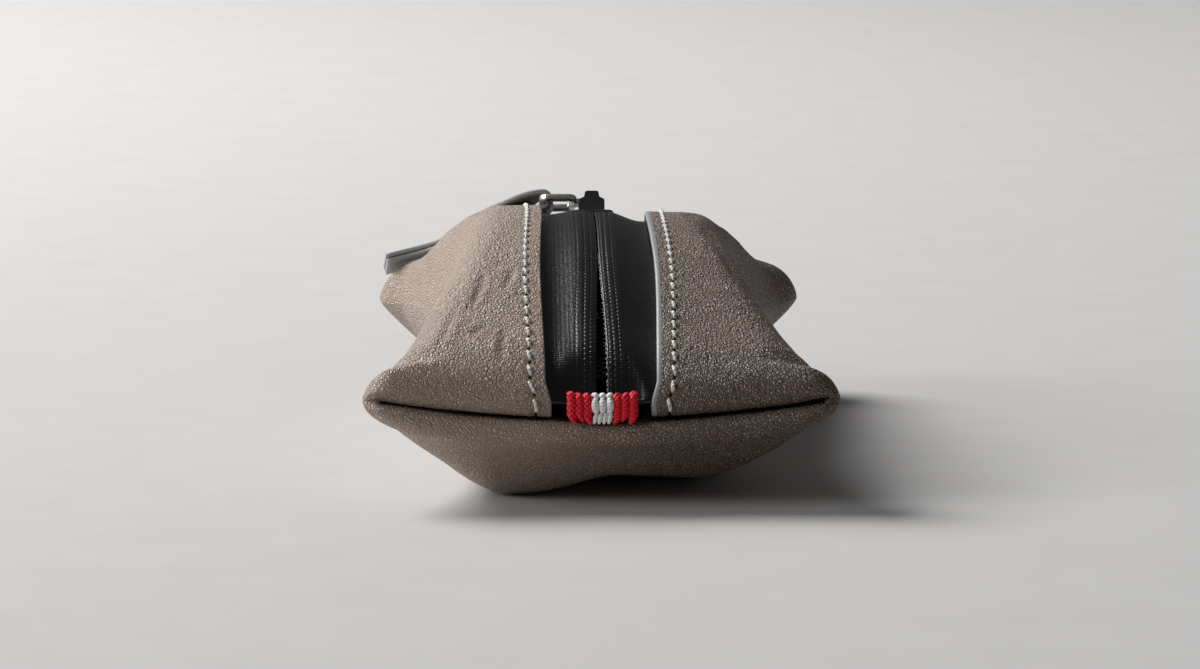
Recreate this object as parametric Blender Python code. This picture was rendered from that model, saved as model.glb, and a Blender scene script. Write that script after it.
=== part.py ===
"""Zip key pouch: a tube of leather, sewn flat across both ends and turned, with a coil zip along its top.

Metres, +Z up. The zip runs along Y, its front end towards -Y, and +X is to the right. The origin is on
the resting face, halfway between the two end seams.
"""
import math

import bmesh
import bpy
from mathutils import Vector

# Driving sizes of the pouch
SEAM_TO_SEAM = 0.130
END_WIDTH = 0.085
WAIST_WIDTH = 0.054
ZIP_CREST_HEIGHT = 0.0438
SEAM_HEIGHT = 0.0155
EAR_LIFT = 0.0038
LEATHER = 0.0011
FIT = 0.0003
SEAM_ALLOWANCE = 0.006
SEAM_GAP = 0.0006
TOP_FOLD_RADIUS = 0.0012
BOTTOM_ROLL_RADIUS = 0.0018
BOTTOM_ROLL_OUT = 0.0022
SIDE_HEIGHT = 0.021
BASE_REACH = 0.052
DENT_DEPTH = 0.0043
DENT_LENGTH = 0.028
DENT_LEFT = 0.0095
DENT_RIGHT = 0.026
DENT_OFFSET = 0.003
DENT_FADES_OVER = 0.009

# Width of the rounded corners of a section, and of the flat run under it, at the waist and at an ear
SHOULDER_EAR = 0.0045
FRONT_SHOULDERS = ((0.0, 0.0125), (0.82, 0.0098), (0.93, 0.0135), (1.0, SHOULDER_EAR))
REAR_SHOULDERS = ((0.0, 0.0125), (0.8, 0.0074), (1.0, SHOULDER_EAR))
TOP_POWER_WAIST = 0.7
TOP_POWER_FRONT = 1.15
TOP_POWER_REAR = 1.0
BOTTOM_POWER_WAIST = 0.75
BOTTOM_POWER_END = 1.3
BOTTOM_FLAT_WAIST = 0.014
BOTTOM_FLAT_BETWEEN = 0.0165
BOTTOM_FLAT_EAR = 0.020

# The ears, where the sides meet the seams
EAR_INSET = 0.0015
EAR_BULGE = 0.0007
EAR_ROUNDING = 0.0018
SLEEVE_CLOSES_AFTER = 0.002

# The line of the zip, seen from the side: an arc over the middle, then a steep drop into each seam
ZIP_ARC_RADIUS = 0.100
ZIP_ARC_REACH = 0.047
SEAM_SLOPE = math.radians(70)
ROLL_SLOPE = math.radians(40)

# Zip tape and coils
ZIP_OPENING = 0.0205
TAPE = 0.0007
TAPE_UNDER_LEATHER = 0.006
TAPE_TURN_RADIUS = 0.0008
TAPE_TURN_FROM_SEAM = 0.0016
TAPE_TAIL = 0.004
LIP_GAP = 0.0015
COIL_HEIGHT = 0.0020
COIL_PITCH = 0.0015
COIL_REACH = 0.0027
COIL_SPINE = 0.0010
TOOTH_WIDTH = 0.00045
TOOTH_PAST_MIDDLE = 0.00055
COIL_END = 0.006

# Slider, in its own terms: across the zip, along it, and up from the tape
SLIDER_PLACE = 0.031
SLIDER_LENGTH = 0.012
SLIDER_TAIL_WIDTH = 0.0080
SLIDER_NOSE_WIDTH = 0.0102
SLIDER_PLATE = 0.0012
SLIDER_FLANGE = 0.0008
SLIDER_CORNER = 0.0014
PLATE_BEVEL = 0.0003
CHANNEL_BEVEL = 0.0004
CAST_OVERLAP = 0.0002
POST_WIDTH = 0.0009
POST_LENGTH = 0.0032
POST_FROM_NOSE = 0.0003
CROWN_BAR = 0.0009
CROWN_WIDTH = 0.0028
CROWN_FOOT_WIDTH = 0.0050
CROWN_FOOT = 0.0027
CROWN_FLARE = 0.0029
CROWN_CORNER = 0.0006
CROWN_EAR = 0.0012
CROWN_ABOVE_PIN = 0.0017
PIN_HEIGHT = 0.0038

# Puller
EYE_WALL = 0.0005
EYE_LENGTH = 0.0046
NECK_THICKNESS = 0.0011
FRAME_WIRE = 0.0016
FRAME_NEAR = 0.0037
FRAME_LENGTH = 0.0059
FRAME_WIDTH = 0.0104
FRAME_CORNER = 0.0013

# Pull strap and key tab, both strips folded round a bar
STRAP_WIDTH = 0.008
STRAP_THICKNESS = 0.0010
STRAP_END_FROM_EAR = 0.0013
STRAP_END_FROM_SEAM = 0.0021
STRAP_END_OVER_SEAM = 0.0107
STRAP_LEAVES = (-0.01224, 0.0, -0.0004)
STRAP_MIDDLE = (-0.0198, 0.0306, -0.00195)
STRAP_ARRIVES = (-0.695, -0.158, -0.176)
STRAP_LAST_REACH = 0.309
STRAP_ACROSS_AT_END = (0.433, 1.354, -0.488)
STRAP_PLY_GAP = 0.00015
STRAP_CLOSES_AFTER = 0.0065
TAB_WIDTH = 0.008
TAB_OFFSET = 0.003
TAB_REACH = 0.021
TAB_LOOP_HEIGHT = 0.0078
TAB_SEWN_IN = 0.003
TAB_CLOSES_AFTER = 0.007
TAB_RISES = (0.0, 0.92, 0.39)

# End ribbon
RIBBON_WIDTH = 0.0123
RIBBON_THICKNESS = 0.0018
RIBBON_HEIGHT = 0.0056
RIBBON_TAIL = 0.0050
RIBBON_TAIL_THICKNESS = 0.0012
RIBBON_FOOT = 0.0010
RIBBON_EDGE = 0.0003

# Key ring, a split ring of two turns
RING_DIAMETER = 0.025
RING_WIRE = 0.0014
RING_TURN_GAP = 0.0003
RING_TURNS = 2
RING_JOG = math.radians(20)

# Values worked out from those above
HALF_LENGTH = SEAM_TO_SEAM / 2
ARC_ANGLE = math.asin(ZIP_ARC_REACH / ZIP_ARC_RADIUS)
ARC_CENTRE_Z = ZIP_CREST_HEIGHT - ZIP_ARC_RADIUS
ARC_LENGTH = ZIP_ARC_RADIUS * ARC_ANGLE
LEATHER_LIFT = FIT + LEATHER / 2
SLEEVE_HALF = (SEAM_GAP + LEATHER) / 2
SIDE_HALF = (WAIST_WIDTH - LEATHER) / 2
EAR_HALF = (END_WIDTH - LEATHER) / 2
SLIDER_ANGLE = math.asin(SLIDER_PLACE / ZIP_ARC_RADIUS)
SLIDER_S = ZIP_ARC_RADIUS * SLIDER_ANGLE
NOSE_SPREAD = TOOTH_PAST_MIDDLE + POST_WIDTH / 2 + FIT


def clear_objects():
    for old in list(bpy.data.objects):
        bpy.data.objects.remove(old, do_unlink=True)


def mix(a, b, t):
    return a + (b - a) * t


def ease(t):
    """0 to 1 with level ends."""
    t = min(1.0, max(0.0, t))
    return t * t * (3 - 2 * t)


def bezier(points, t):
    """A point of the smooth curve steered by its control points, of any number of coordinates."""
    points = [list(p) for p in points]
    while len(points) > 1:
        points = [[mix(a, b, t) for a, b in zip(p, q)] for p, q in zip(points, points[1:])]
    return points[0]


# The zip line

def top_fold_centre():
    """Centre of the fold where the top panel turns into the seam, as (forward, height)."""
    return HALF_LENGTH - TOP_FOLD_RADIUS, SEAM_HEIGHT + SLEEVE_HALF + TOP_FOLD_RADIUS


def drop_curve():
    """Control points of the drop from the arc's end into the seam, on the tape's upper face."""
    centre_y, centre_z = top_fold_centre()
    inward = TOP_FOLD_RADIUS - LEATHER_LIFT
    end = (centre_y + inward * math.sin(SEAM_SLOPE), centre_z + inward * math.cos(SEAM_SLOPE))
    start = (ZIP_ARC_REACH, ARC_CENTRE_Z + ZIP_ARC_RADIUS * math.cos(ARC_ANGLE))
    reach = 0.42 * math.dist(start, end)
    first = (start[0] + reach * math.cos(ARC_ANGLE), start[1] - reach * math.sin(ARC_ANGLE))
    second = (end[0] - reach * math.cos(SEAM_SLOPE), end[1] + reach * math.sin(SEAM_SLOPE))
    return start, first, second, end


def drop_steps(count=60):
    """Points along the drop with their distance from its start."""
    curve = drop_curve()
    steps = [(0.0, *curve[0])]
    for k in range(1, count + 1):
        y, z = bezier(curve, k / count)
        steps.append((steps[-1][0] + math.dist((y, z), steps[-1][1:]), y, z))
    return steps


DROP = drop_steps()
DROP_LENGTH = DROP[-1][0]
ZIP_HALF = ARC_LENGTH + DROP_LENGTH


def zip_rail(s):
    """Place (y, z) and normal of the tape's upper face at the distance s from the crest, rear positive."""
    side = 1 if s >= 0 else -1
    along = abs(s)
    if along <= ARC_LENGTH:
        angle = along / ZIP_ARC_RADIUS
        normal = (side * math.sin(angle), math.cos(angle))
        return (ZIP_ARC_RADIUS * normal[0], ARC_CENTRE_Z + ZIP_ARC_RADIUS * normal[1]), normal
    left = along - ARC_LENGTH
    k = next((i for i, step in enumerate(DROP) if step[0] >= left), len(DROP) - 1)
    k = max(k, 1)
    before, after = DROP[k - 1], DROP[k]
    t = (left - before[0]) / (after[0] - before[0])
    y, z = mix(before[1], after[1], t), mix(before[2], after[2], t)
    run = math.dist(before[1:], after[1:])
    normal = (side * (before[2] - after[2]) / run, (after[1] - before[1]) / run)
    return (side * y, z), normal


def on_zip(x, s, up):
    """World point from the place across the zip, along it and above the tape's upper face."""
    (y, z), (ny, nz) = zip_rail(s)
    return Vector((x, y + up * ny, z + up * nz))


def ear_rise(x, t):
    """How much higher the pouch lies at x than at its middle; t is 0 at the waist and 1 at a seam."""
    return EAR_LIFT * t ** 4 * (x / EAR_HALF) ** 2


# The leather body

def shoulder_points(flat, side, high, low, power, count):
    """Quarter of a rounded corner: from (flat, high) round to (side, low), as (x, z, share of high)."""
    points = []
    for k in range(1, count + 1):
        angle = k / count * math.pi / 2
        share = math.cos(angle) ** power if k < count else 0.0
        points.append((mix(flat, side, math.sin(angle) ** power), mix(low, high, share), share))
    return points


def half_rib(top, side, bottom, t):
    """Right half of a section, from the zip's edge to the middle of the bottom.

    top and bottom are (y, z, half width of the flat run, power of the corner), side is (y, half width, z).
    """
    run_count, corner_count = 3, 7
    points = []
    y, z, flat, power = top
    for k in range(run_count + 1):
        x = mix(ZIP_OPENING / 2, flat, k / run_count)
        points.append(Vector((x, y, z + ear_rise(x, t))))
    upper = shoulder_points(flat, side[1], z + ear_rise(flat, t), side[2], power, corner_count)
    for x, height, share in upper:
        points.append(Vector((x, mix(side[0], y, share), height)))
    y, z, flat, power = bottom
    lower = shoulder_points(flat, side[1], z + ear_rise(flat, t), side[2], power, corner_count)
    for x, height, share in reversed(lower[:-1]):
        points.append(Vector((x, mix(side[0], y, share), height)))
    for k in range(run_count + 1):
        x = mix(flat, 0.0, k / run_count)
        points.append(Vector((x, y, z + ear_rise(x, t))))
    return points


def roll_centre():
    """Centre of the roll where the bottom panel turns into the seam, as (forward, height)."""
    forward = HALF_LENGTH + BOTTOM_ROLL_OUT - BOTTOM_ROLL_RADIUS
    return forward, SEAM_HEIGHT - SLEEVE_HALF - BOTTOM_ROLL_RADIUS


def bottom_line(p):
    """Place (forward, height) of the bottom panel at the share p of its way from the waist to the roll."""
    centre_y, centre_z = roll_centre()
    end = (centre_y + BOTTOM_ROLL_RADIUS * math.sin(ROLL_SLOPE),
           centre_z - BOTTOM_ROLL_RADIUS * math.cos(ROLL_SLOPE))
    base = LEATHER / 2
    rise = math.dist((BASE_REACH, base), end)
    flat_share = BASE_REACH / (BASE_REACH + rise)
    if p <= flat_share:
        return BASE_REACH * p / flat_share, base
    reach = 0.36 * rise
    curve = ((BASE_REACH, base), (BASE_REACH + reach, base),
             (end[0] - reach * math.cos(ROLL_SLOPE), end[1] - reach * math.sin(ROLL_SLOPE)), end)
    return bezier(curve, (p - flat_share) / (1 - flat_share))


def through(knots, t):
    """Smooth value at t of a list of (place, value) knots."""
    for (a, low), (b, high) in zip(knots, knots[1:]):
        if t <= b:
            return mix(low, high, ease((t - a) / (b - a)))
    return knots[-1][1]


def body_rib(p, end):
    """Half section at the share p of the way from the waist to the fold at the front (-1) or rear (1) end."""
    side_y = p * (HALF_LENGTH - EAR_INSET)
    t = mix(side_y / HALF_LENGTH, 1.0, ease((p - 0.8) / 0.2))
    half = mix(SIDE_HALF, EAR_HALF, t ** 1.5)
    (y, z), (ny, nz) = zip_rail(p * ZIP_HALF)
    shoulders, power = (FRONT_SHOULDERS, TOP_POWER_FRONT) if end < 0 else (REAR_SHOULDERS, TOP_POWER_REAR)
    top = (y + LEATHER_LIFT * ny, z + LEATHER_LIFT * nz, half - through(shoulders, t),
           mix(TOP_POWER_WAIST, power, ease(t / 0.8)))
    side = (side_y, half, mix(SIDE_HEIGHT, SEAM_HEIGHT + EAR_LIFT, t * t))
    bottom_y, bottom_z = bottom_line(p)
    bottom_flat = mix(BOTTOM_FLAT_WAIST, BOTTOM_FLAT_BETWEEN, ease(t / 0.7))
    bottom_flat = mix(bottom_flat, BOTTOM_FLAT_EAR, ease((t - 0.7) / 0.3))
    power = mix(BOTTOM_POWER_WAIST, BOTTOM_POWER_END, ease(t / 0.85))
    return half_rib(top, side, (bottom_y, bottom_z, bottom_flat, power), t)


def fold_rib(j):
    """Half section in the fold at the seam; j goes from 0 at its start to 1 where the allowance starts."""
    centre_y, centre_z = top_fold_centre()
    angle = mix(math.pi / 2 - SEAM_SLOPE, -math.pi / 2, j)
    corner = mix(SHOULDER_EAR, SLEEVE_HALF, ease(j * 1.4))
    half = EAR_HALF - EAR_ROUNDING * ease(j)
    top = (centre_y + TOP_FOLD_RADIUS * math.cos(angle), centre_z + TOP_FOLD_RADIUS * math.sin(angle),
           half - corner, 1.0)
    low_y, low_z = roll_centre()
    angle = mix(ROLL_SLOPE - math.pi / 2, math.pi / 2, j)
    low_corner = mix(EAR_HALF - BOTTOM_FLAT_EAR, SLEEVE_HALF, ease(j * 1.3))
    bottom = (low_y + BOTTOM_ROLL_RADIUS * math.cos(angle), low_z + BOTTOM_ROLL_RADIUS * math.sin(angle),
              half - low_corner, 1.0)
    side_y = HALF_LENGTH - EAR_INSET + EAR_BULGE * math.sin(math.pi * j)
    side = (side_y, half, SEAM_HEIGHT + EAR_LIFT)
    return half_rib(top, side, bottom, 1.0)


def sleeve_rib(depth):
    """Half section of the allowance inside the pouch, at a depth behind the end of the fold."""
    last = fold_rib(1.0)
    start = HALF_LENGTH - EAR_INSET
    pulled = []
    for point in last:
        y = mix(point.y, start - depth, ease(depth / SLEEVE_CLOSES_AFTER))
        pulled.append(Vector((point.x, y, point.z)))
    return pulled


def dent(point):
    """Rise of the bottom panel in the hollow behind each seam, which fades out up the sides."""
    inset = HALF_LENGTH - point.y
    if not 0 < inset < DENT_LENGTH:
        return 0.0
    along = math.sin(math.pi * inset / DENT_LENGTH) ** 2
    aside = point.x - DENT_OFFSET
    across = math.exp(-(aside / (DENT_RIGHT if aside > 0 else DENT_LEFT)) ** 2)
    limit = SEAM_HEIGHT - SLEEVE_HALF - BOTTOM_ROLL_RADIUS
    return DENT_DEPTH * along * across * ease((limit - point.z) / DENT_FADES_OVER)


def whole_rib(half, end):
    """Left and right halves in one row, for the rear end (1) or the front end (-1)."""
    row = [Vector((-p.x, p.y, p.z)) for p in half] + [p.copy() for p in reversed(half[:-1])]
    for p in row:
        p.z += dent(p)
        p.y *= end
    return row


def leather_rows():
    """All sections of the leather, from the front allowance to the rear one."""
    shares = [0.14, 0.28, 0.41, 0.53, 0.63, 0.71, 0.78, 0.84, 0.89, 0.935, 0.97]
    inner = [fold_rib(j / 6) for j in range(7)] + [sleeve_rib(0.003), sleeve_rib(SEAM_ALLOWANCE)]
    front = [whole_rib(h, -1) for h in reversed([body_rib(p, -1) for p in shares] + inner)]
    rear = [whole_rib(h, 1) for h in [body_rib(p, 1) for p in shares] + inner]
    return front + [whole_rib(body_rib(0.0, 1), 1)] + rear


def new_object(name, vertices, faces, material, origin=(0.0, 0.0, 0.0)):
    """Object of a mesh whose vertices are world points, with its origin where it is wanted."""
    mesh = bpy.data.meshes.new(name)
    origin = Vector(origin)
    mesh.from_pydata([Vector(v) - origin for v in vertices], [], faces)
    mesh.update()
    if material is not None:
        mesh.materials.append(material)
    mesh.shade_smooth()
    mesh.set_sharp_from_angle(angle=math.radians(40))
    thing = bpy.data.objects.new(name, mesh)
    thing.location = origin
    bpy.context.scene.collection.objects.link(thing)
    return thing


def face_out(thing):
    """Turns a closed mesh's faces outwards."""
    shape = bmesh.new()
    shape.from_mesh(thing.data)
    bmesh.ops.recalc_face_normals(shape, faces=shape.faces)
    shape.to_mesh(thing.data)
    shape.free()


def grid_faces(rows, columns, closed=False):
    """Quads between rows of points; a closed row joins its last point to its first."""
    span = columns if closed else columns - 1
    return [(r * columns + c, r * columns + (c + 1) % columns,
             (r + 1) * columns + (c + 1) % columns, (r + 1) * columns + c)
            for r in range(rows - 1) for c in range(span)]


def sweep(name, rings, material, origin=(0.0, 0.0, 0.0), closed=False):
    """Solid through rings of equally many points, capped at both ends or joined end to end."""
    count = len(rings[0])
    vertices = [p for ring in rings for p in ring]
    if closed:
        rows = len(rings)
        faces = [(r * count + c, r * count + (c + 1) % count,
                  (r + 1) % rows * count + (c + 1) % count, (r + 1) % rows * count + c)
                 for r in range(rows) for c in range(count)]
    else:
        faces = grid_faces(len(rings), count, closed=True)
        faces.append(tuple(range(count)))
        faces.append(tuple(range(len(vertices) - count, len(vertices))))
    thing = new_object(name, vertices, faces, material, origin)
    face_out(thing)
    return thing


def fuse(main, *others):
    """Joins other solids to the main one with an exact union, keeping them as hidden helpers."""
    for other in others:
        other.hide_render = True
        other.display_type = 'WIRE'
        joint = main.modifiers.new("join_" + other.name, 'BOOLEAN')
        joint.operation = 'UNION'
        joint.solver = 'EXACT'
        joint.object = other


def material(name, colour, roughness, metallic=0.0):
    made = bpy.data.materials.new(name)
    made.use_nodes = True
    shader = made.node_tree.nodes["Principled BSDF"]
    shader.inputs["Base Color"].default_value = (*colour, 1.0)
    shader.inputs["Roughness"].default_value = roughness
    shader.inputs["Metallic"].default_value = metallic
    return made


def make_leather_body():
    rows = leather_rows()
    vertices = [p for row in rows for p in row]
    body = new_object("leather_body", vertices, grid_faces(len(rows), len(rows[0])),
                      material("taupe_leather", (0.20, 0.155, 0.12), 0.55))
    face_out(body)
    shell = body.modifiers.new("thickness", 'SOLIDIFY')
    shell.thickness = LEATHER
    shell.offset = 0.0
    shell.use_even_offset = True
    shell.use_quality_normals = True


# Zip tape and coils

def spread(s):
    """How far each half of the chain lies from its closed place: it parts inside the slider."""
    start = SLIDER_S - 0.001
    full = SLIDER_S + SLIDER_LENGTH / 2 - POST_FROM_NOSE - POST_LENGTH
    opened = ease((s - start) / (full - start))
    shut = ease((s - SLIDER_S - SLIDER_LENGTH) / (ZIP_HALF - SLIDER_S - SLIDER_LENGTH))
    return NOSE_SPREAD * opened * (1 - 0.6 * shut)


def tape_stations():
    """Places along the tape between its turned tails, and the place where the tails begin."""
    stop = ZIP_HALF - TAPE_TURN_FROM_SEAM
    arc_count, drop_count = 18, 8
    places = [mix(-ARC_LENGTH, ARC_LENGTH, k / arc_count) for k in range(arc_count + 1)]
    drop = [ARC_LENGTH + (stop - ARC_LENGTH) * k / drop_count for k in range(1, drop_count + 1)]
    return [-s for s in reversed(drop)] + places + drop, stop


def tail_points(stop):
    """Middle line of the tape's turned tail as (forward, height, normal), from the drop inwards."""
    (y, z), (ny, nz) = zip_rail(stop)
    y, z = y - TAPE / 2 * ny, z - TAPE / 2 * nz
    turn = TAPE_TURN_RADIUS
    centre = (y - turn * ny, z - turn * nz)
    first = math.atan2(nz, ny)
    points = []
    for k in range(1, 4):
        angle = mix(first, -math.pi / 2, k / 3)
        normal = (math.cos(angle), math.sin(angle))
        points.append((centre[0] + turn * normal[0], centre[1] + turn * normal[1], normal))
    points.append((centre[0] - TAPE_TAIL, centre[1] - turn, (0.0, -1.0)))
    return points


def make_tape(name, side, colour):
    """One half of the tape: side is -1 for the left one and 1 for the right one."""
    stations, stop = tape_stations()
    outer = ZIP_OPENING / 2 + TAPE_UNDER_LEATHER
    line = []
    for s in stations:
        (y, z), (ny, nz) = zip_rail(s)
        line.append((y - TAPE / 2 * ny, z - TAPE / 2 * nz, (ny, nz), spread(s)))
    ends = tail_points(stop)
    front = [(-y, z, (-ny, nz), spread(-stop)) for y, z, (ny, nz) in reversed(ends)]
    rear = [(y, z, (ny, nz), spread(stop)) for y, z, (ny, nz) in ends]
    rings = []
    for y, z, (ny, nz), parted in front + line + rear:
        t = min(1.0, abs(y) / HALF_LENGTH)
        across = [LIP_GAP / 2 + parted, ZIP_OPENING / 4, ZIP_OPENING / 2, outer]
        upper, lower = [], []
        for x in across:
            rise = ear_rise(x, t)
            upper.append(Vector((side * x, y + TAPE / 2 * ny, z + rise + TAPE / 2 * nz)))
            lower.append(Vector((side * x, y - TAPE / 2 * ny, z + rise - TAPE / 2 * nz)))
        rings.append(upper + lower[::-1])
    return sweep(name, rings, colour)


def make_coil(name, side, colour):
    """One half of the chain: a spine whose teeth reach past the middle, between those of the other half."""
    top = -TAPE - FIT
    reach = ZIP_HALF - COIL_END
    count = int(2 * reach / COIL_PITCH)
    start = -count * COIL_PITCH / 2 + (COIL_PITCH / 2 if side > 0 else 0.0)
    inner = COIL_REACH - COIL_SPINE
    levels = (top, top - COIL_HEIGHT)
    vertices, faces = [], []
    previous = None
    for k in range(count):
        middle = start + (k + 0.5) * COIL_PITCH
        cuts = []
        for s in (middle - TOOTH_WIDTH / 2, middle + TOOTH_WIDTH / 2):
            base = len(vertices)
            for x in (-TOOTH_PAST_MIDDLE, inner, COIL_REACH):
                for level in levels:
                    vertices.append(on_zip(side * (x + spread(s)), s, level))
            cuts.append(base)
        a, b = cuts
        faces += [(a, b, b + 2, a + 2), (a + 1, a + 3, b + 3, b + 1), (a, a + 1, b + 1, b),
                  (a, a + 2, a + 3, a + 1), (b, b + 1, b + 3, b + 2),
                  (a + 2, b + 2, b + 4, a + 4), (a + 3, a + 5, b + 5, b + 3), (a + 4, b + 4, b + 5, a + 5)]
        if previous is not None:
            p = previous
            faces += [(p + 2, a + 2, a + 4, p + 4), (p + 3, p + 5, a + 5, a + 3),
                      (p + 4, a + 4, a + 5, p + 5), (p + 2, p + 3, a + 3, a + 2)]
        else:
            faces.append((a + 2, a + 4, a + 5, a + 3))
        previous = b
    faces.append((previous + 2, previous + 3, previous + 5, previous + 4))
    thing = new_object(name, vertices, faces, colour)
    face_out(thing)
    return thing


# Slider, puller and strap

class Seat:
    """A straight frame that sits on the slider: across the zip, along it and up from the tape."""

    def __init__(self, up=0.0):
        self.across = Vector((1, 0, 0))
        self.along = Vector((0, math.cos(SLIDER_ANGLE), -math.sin(SLIDER_ANGLE)))
        self.up = Vector((0, math.sin(SLIDER_ANGLE), math.cos(SLIDER_ANGLE)))
        self.origin = on_zip(0.0, SLIDER_S, up)

    def turned(self, step):
        return step[0] * self.across + step[1] * self.along + step[2] * self.up

    def at(self, x, s, up):
        return self.origin + self.turned((x, s, up))


def rounded(corners, radius, steps=3):
    """Outline of a polygon with each corner rounded by a short curve."""
    outline = []
    for k, corner in enumerate(corners):
        corner = Vector(corner)
        before = Vector(corners[k - 1]) - corner
        after = Vector(corners[(k + 1) % len(corners)]) - corner
        start = corner + before.normalized() * min(radius, before.length / 2)
        end = corner + after.normalized() * min(radius, after.length / 2)
        for i in range(steps + 1):
            t = i / steps
            outline.append((1 - t) ** 2 * start + 2 * t * (1 - t) * corner + t * t * end)
    return outline


def slider_half_width(s):
    """Half width of the slider at s, growing from its tail to its nose."""
    share = (s + SLIDER_LENGTH / 2) / (SLIDER_LENGTH * 0.7)
    return mix(SLIDER_TAIL_WIDTH, SLIDER_NOSE_WIDTH, ease(share)) / 2


def make_top_plate(colour, origin):
    half = SLIDER_LENGTH / 2
    tail, nose = SLIDER_TAIL_WIDTH / 2, SLIDER_NOSE_WIDTH / 2
    waist = 0.2 * SLIDER_LENGTH
    corners = [(-tail, -half), (tail, -half), (nose, waist), (nose, half), (-nose, half), (-nose, waist)]
    outline = rounded(corners, SLIDER_CORNER)
    low, high = FIT, FIT + SLIDER_PLATE
    rings = []
    for level, inset in ((low, 0.0), (high - PLATE_BEVEL, 0.0), (high, PLATE_BEVEL)):
        rings.append([on_zip(p.x * (1 - inset / nose), SLIDER_S + p.y * (1 - inset / half), level)
                      for p in outline])
    return sweep("slider_body", rings, colour, origin)


def make_channel(colour, origin):
    """Bottom plate of the slider, with the two flanges that the chain runs between."""
    flange_top = -TAPE - FIT
    floor = flange_top - COIL_HEIGHT - FIT
    under = floor - SLIDER_PLATE
    rings = []
    for k in range(9):
        s = mix(-SLIDER_LENGTH / 2, SLIDER_LENGTH / 2, k / 8)
        outer = slider_half_width(s)
        inner = outer - SLIDER_FLANGE
        edge = CHANNEL_BEVEL
        section = [(-outer, flange_top), (-outer, under + edge), (-outer + edge, under),
                   (outer - edge, under), (outer, under + edge), (outer, flange_top),
                   (inner, flange_top), (inner, floor), (-inner, floor), (-inner, flange_top)]
        rings.append([on_zip(x, SLIDER_S + s, level) for x, level in section])
    return sweep("slider_channel", rings, colour, origin)


def make_post(colour, origin):
    """Wedge between the two plates that parts the chain."""
    floor = -TAPE - 2 * FIT - COIL_HEIGHT - CAST_OVERLAP
    end = SLIDER_LENGTH / 2 - POST_FROM_NOSE
    start = end - POST_LENGTH
    half = POST_WIDTH / 2
    outline = [(-half * 0.3, start), (half * 0.3, start), (half, start + 0.3 * POST_LENGTH),
               (half, end - 0.2 * POST_LENGTH), (half * 0.3, end), (-half * 0.3, end),
               (-half, end - 0.2 * POST_LENGTH), (-half, start + 0.3 * POST_LENGTH)]
    levels = (floor, FIT + CAST_OVERLAP)
    rings = [[on_zip(x, SLIDER_S + s, level) for x, s in outline] for level in levels]
    return sweep("slider_post", rings, colour, origin)


def make_crown_ear(colour, origin, side):
    """One upright of the crown: a broad foot with a narrower head, all corners round."""
    seat = Seat()
    foot = FIT + SLIDER_PLATE - CAST_OVERLAP
    top = PIN_HEIGHT + CROWN_ABOVE_PIN
    half = CROWN_WIDTH / 2
    wide = CROWN_FOOT_WIDTH / 2
    right = [(wide, foot), (wide, foot + CROWN_FOOT), (half, foot + CROWN_FLARE), (half, top)]
    outline = rounded(right + [(-x, level) for x, level in reversed(right)], CROWN_CORNER)
    near = EYE_LENGTH / 2 + FIT
    rings = [[seat.at(x, side * s, level) for x, level in outline] for s in (near, near + CROWN_EAR)]
    return sweep("crown_ear_" + ("rear" if side > 0 else "front"), rings, colour, origin)


def rod(name, place, start, end, radius, sides, colour, origin):
    """Round bar along the zip's direction at a seat's own origin."""
    rings = []
    for s in (start, end):
        turn = [2 * math.pi * k / sides for k in range(sides)]
        rings.append([place.at(radius * math.cos(a), s, radius * math.sin(a)) for a in turn])
    return sweep(name, rings, colour, origin)


def make_slider():
    """Die-cast slider: top plate, channel, parting post and the crown that holds the puller."""
    colour = material("black_nickel", (0.10, 0.10, 0.105), 0.3, 1.0)
    origin = (0.0, 0.0, ARC_CENTRE_Z)
    body = make_top_plate(colour, origin)
    reach = EYE_LENGTH / 2 + FIT + CROWN_EAR / 2
    bar = rod("crown_bar", Seat(PIN_HEIGHT), -reach, reach, CROWN_BAR / 2, 12, colour, origin)
    fuse(body, make_channel(colour, origin), make_post(colour, origin),
         make_crown_ear(colour, origin, -1), make_crown_ear(colour, origin, 1), bar)


def ring_of_wire(place, colour, origin):
    """Rectangular wire loop of the puller, lying to the left of the eye."""
    near, far = -FRAME_NEAR, -FRAME_NEAR - FRAME_LENGTH
    half = FRAME_WIDTH / 2
    line = rounded([(near, -half), (near, half), (far, half), (far, -half)], FRAME_CORNER, 4)
    sides = 8
    rings = []
    for k, point in enumerate(line):
        ahead = line[(k + 1) % len(line)] - line[k - 1]
        outward = Vector((ahead.y, -ahead.x)).normalized()
        ring = []
        for i in range(sides):
            angle = 2 * math.pi * (i + 0.5) / sides
            side, lift = FRAME_WIRE / 2 * math.cos(angle), FRAME_WIRE / 2 * math.sin(angle)
            flat = point + outward * side
            ring.append(place.at(flat.x, flat.y, lift))
        rings.append(ring)
    return sweep("puller_frame", rings, colour, origin, closed=True)


def make_puller():
    """Puller: an eye that turns on the crown's bar, a short neck and a wire loop for the strap."""
    colour = material("polished_nickel", (0.72, 0.70, 0.67), 0.18, 1.0)
    place = Seat(PIN_HEIGHT)
    origin = place.origin
    frame = ring_of_wire(place, colour, origin)
    bore = CROWN_BAR / 2 + FIT
    outer = bore + EYE_WALL
    half = EYE_LENGTH / 2
    rings = []
    for k in range(16):
        a = 2 * math.pi * k / 16
        rings.append([place.at(r * math.cos(a), s, r * math.sin(a))
                      for r, s in ((bore, -half), (outer, -half), (outer, half), (bore, half))])
    eye = sweep("puller_eye", rings, colour, origin, closed=True)
    neck_half, neck_width = NECK_THICKNESS / 2, 0.8 * half
    rings = [[place.at(x, s, u) for s, u in ((-neck_width, -neck_half), (neck_width, -neck_half),
                                             (neck_width, neck_half), (-neck_width, neck_half))]
             for x in (-(bore + 0.3 * EYE_WALL), -FRAME_NEAR)]
    fuse(frame, eye, sweep("puller_neck", rings, colour, origin))


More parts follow.
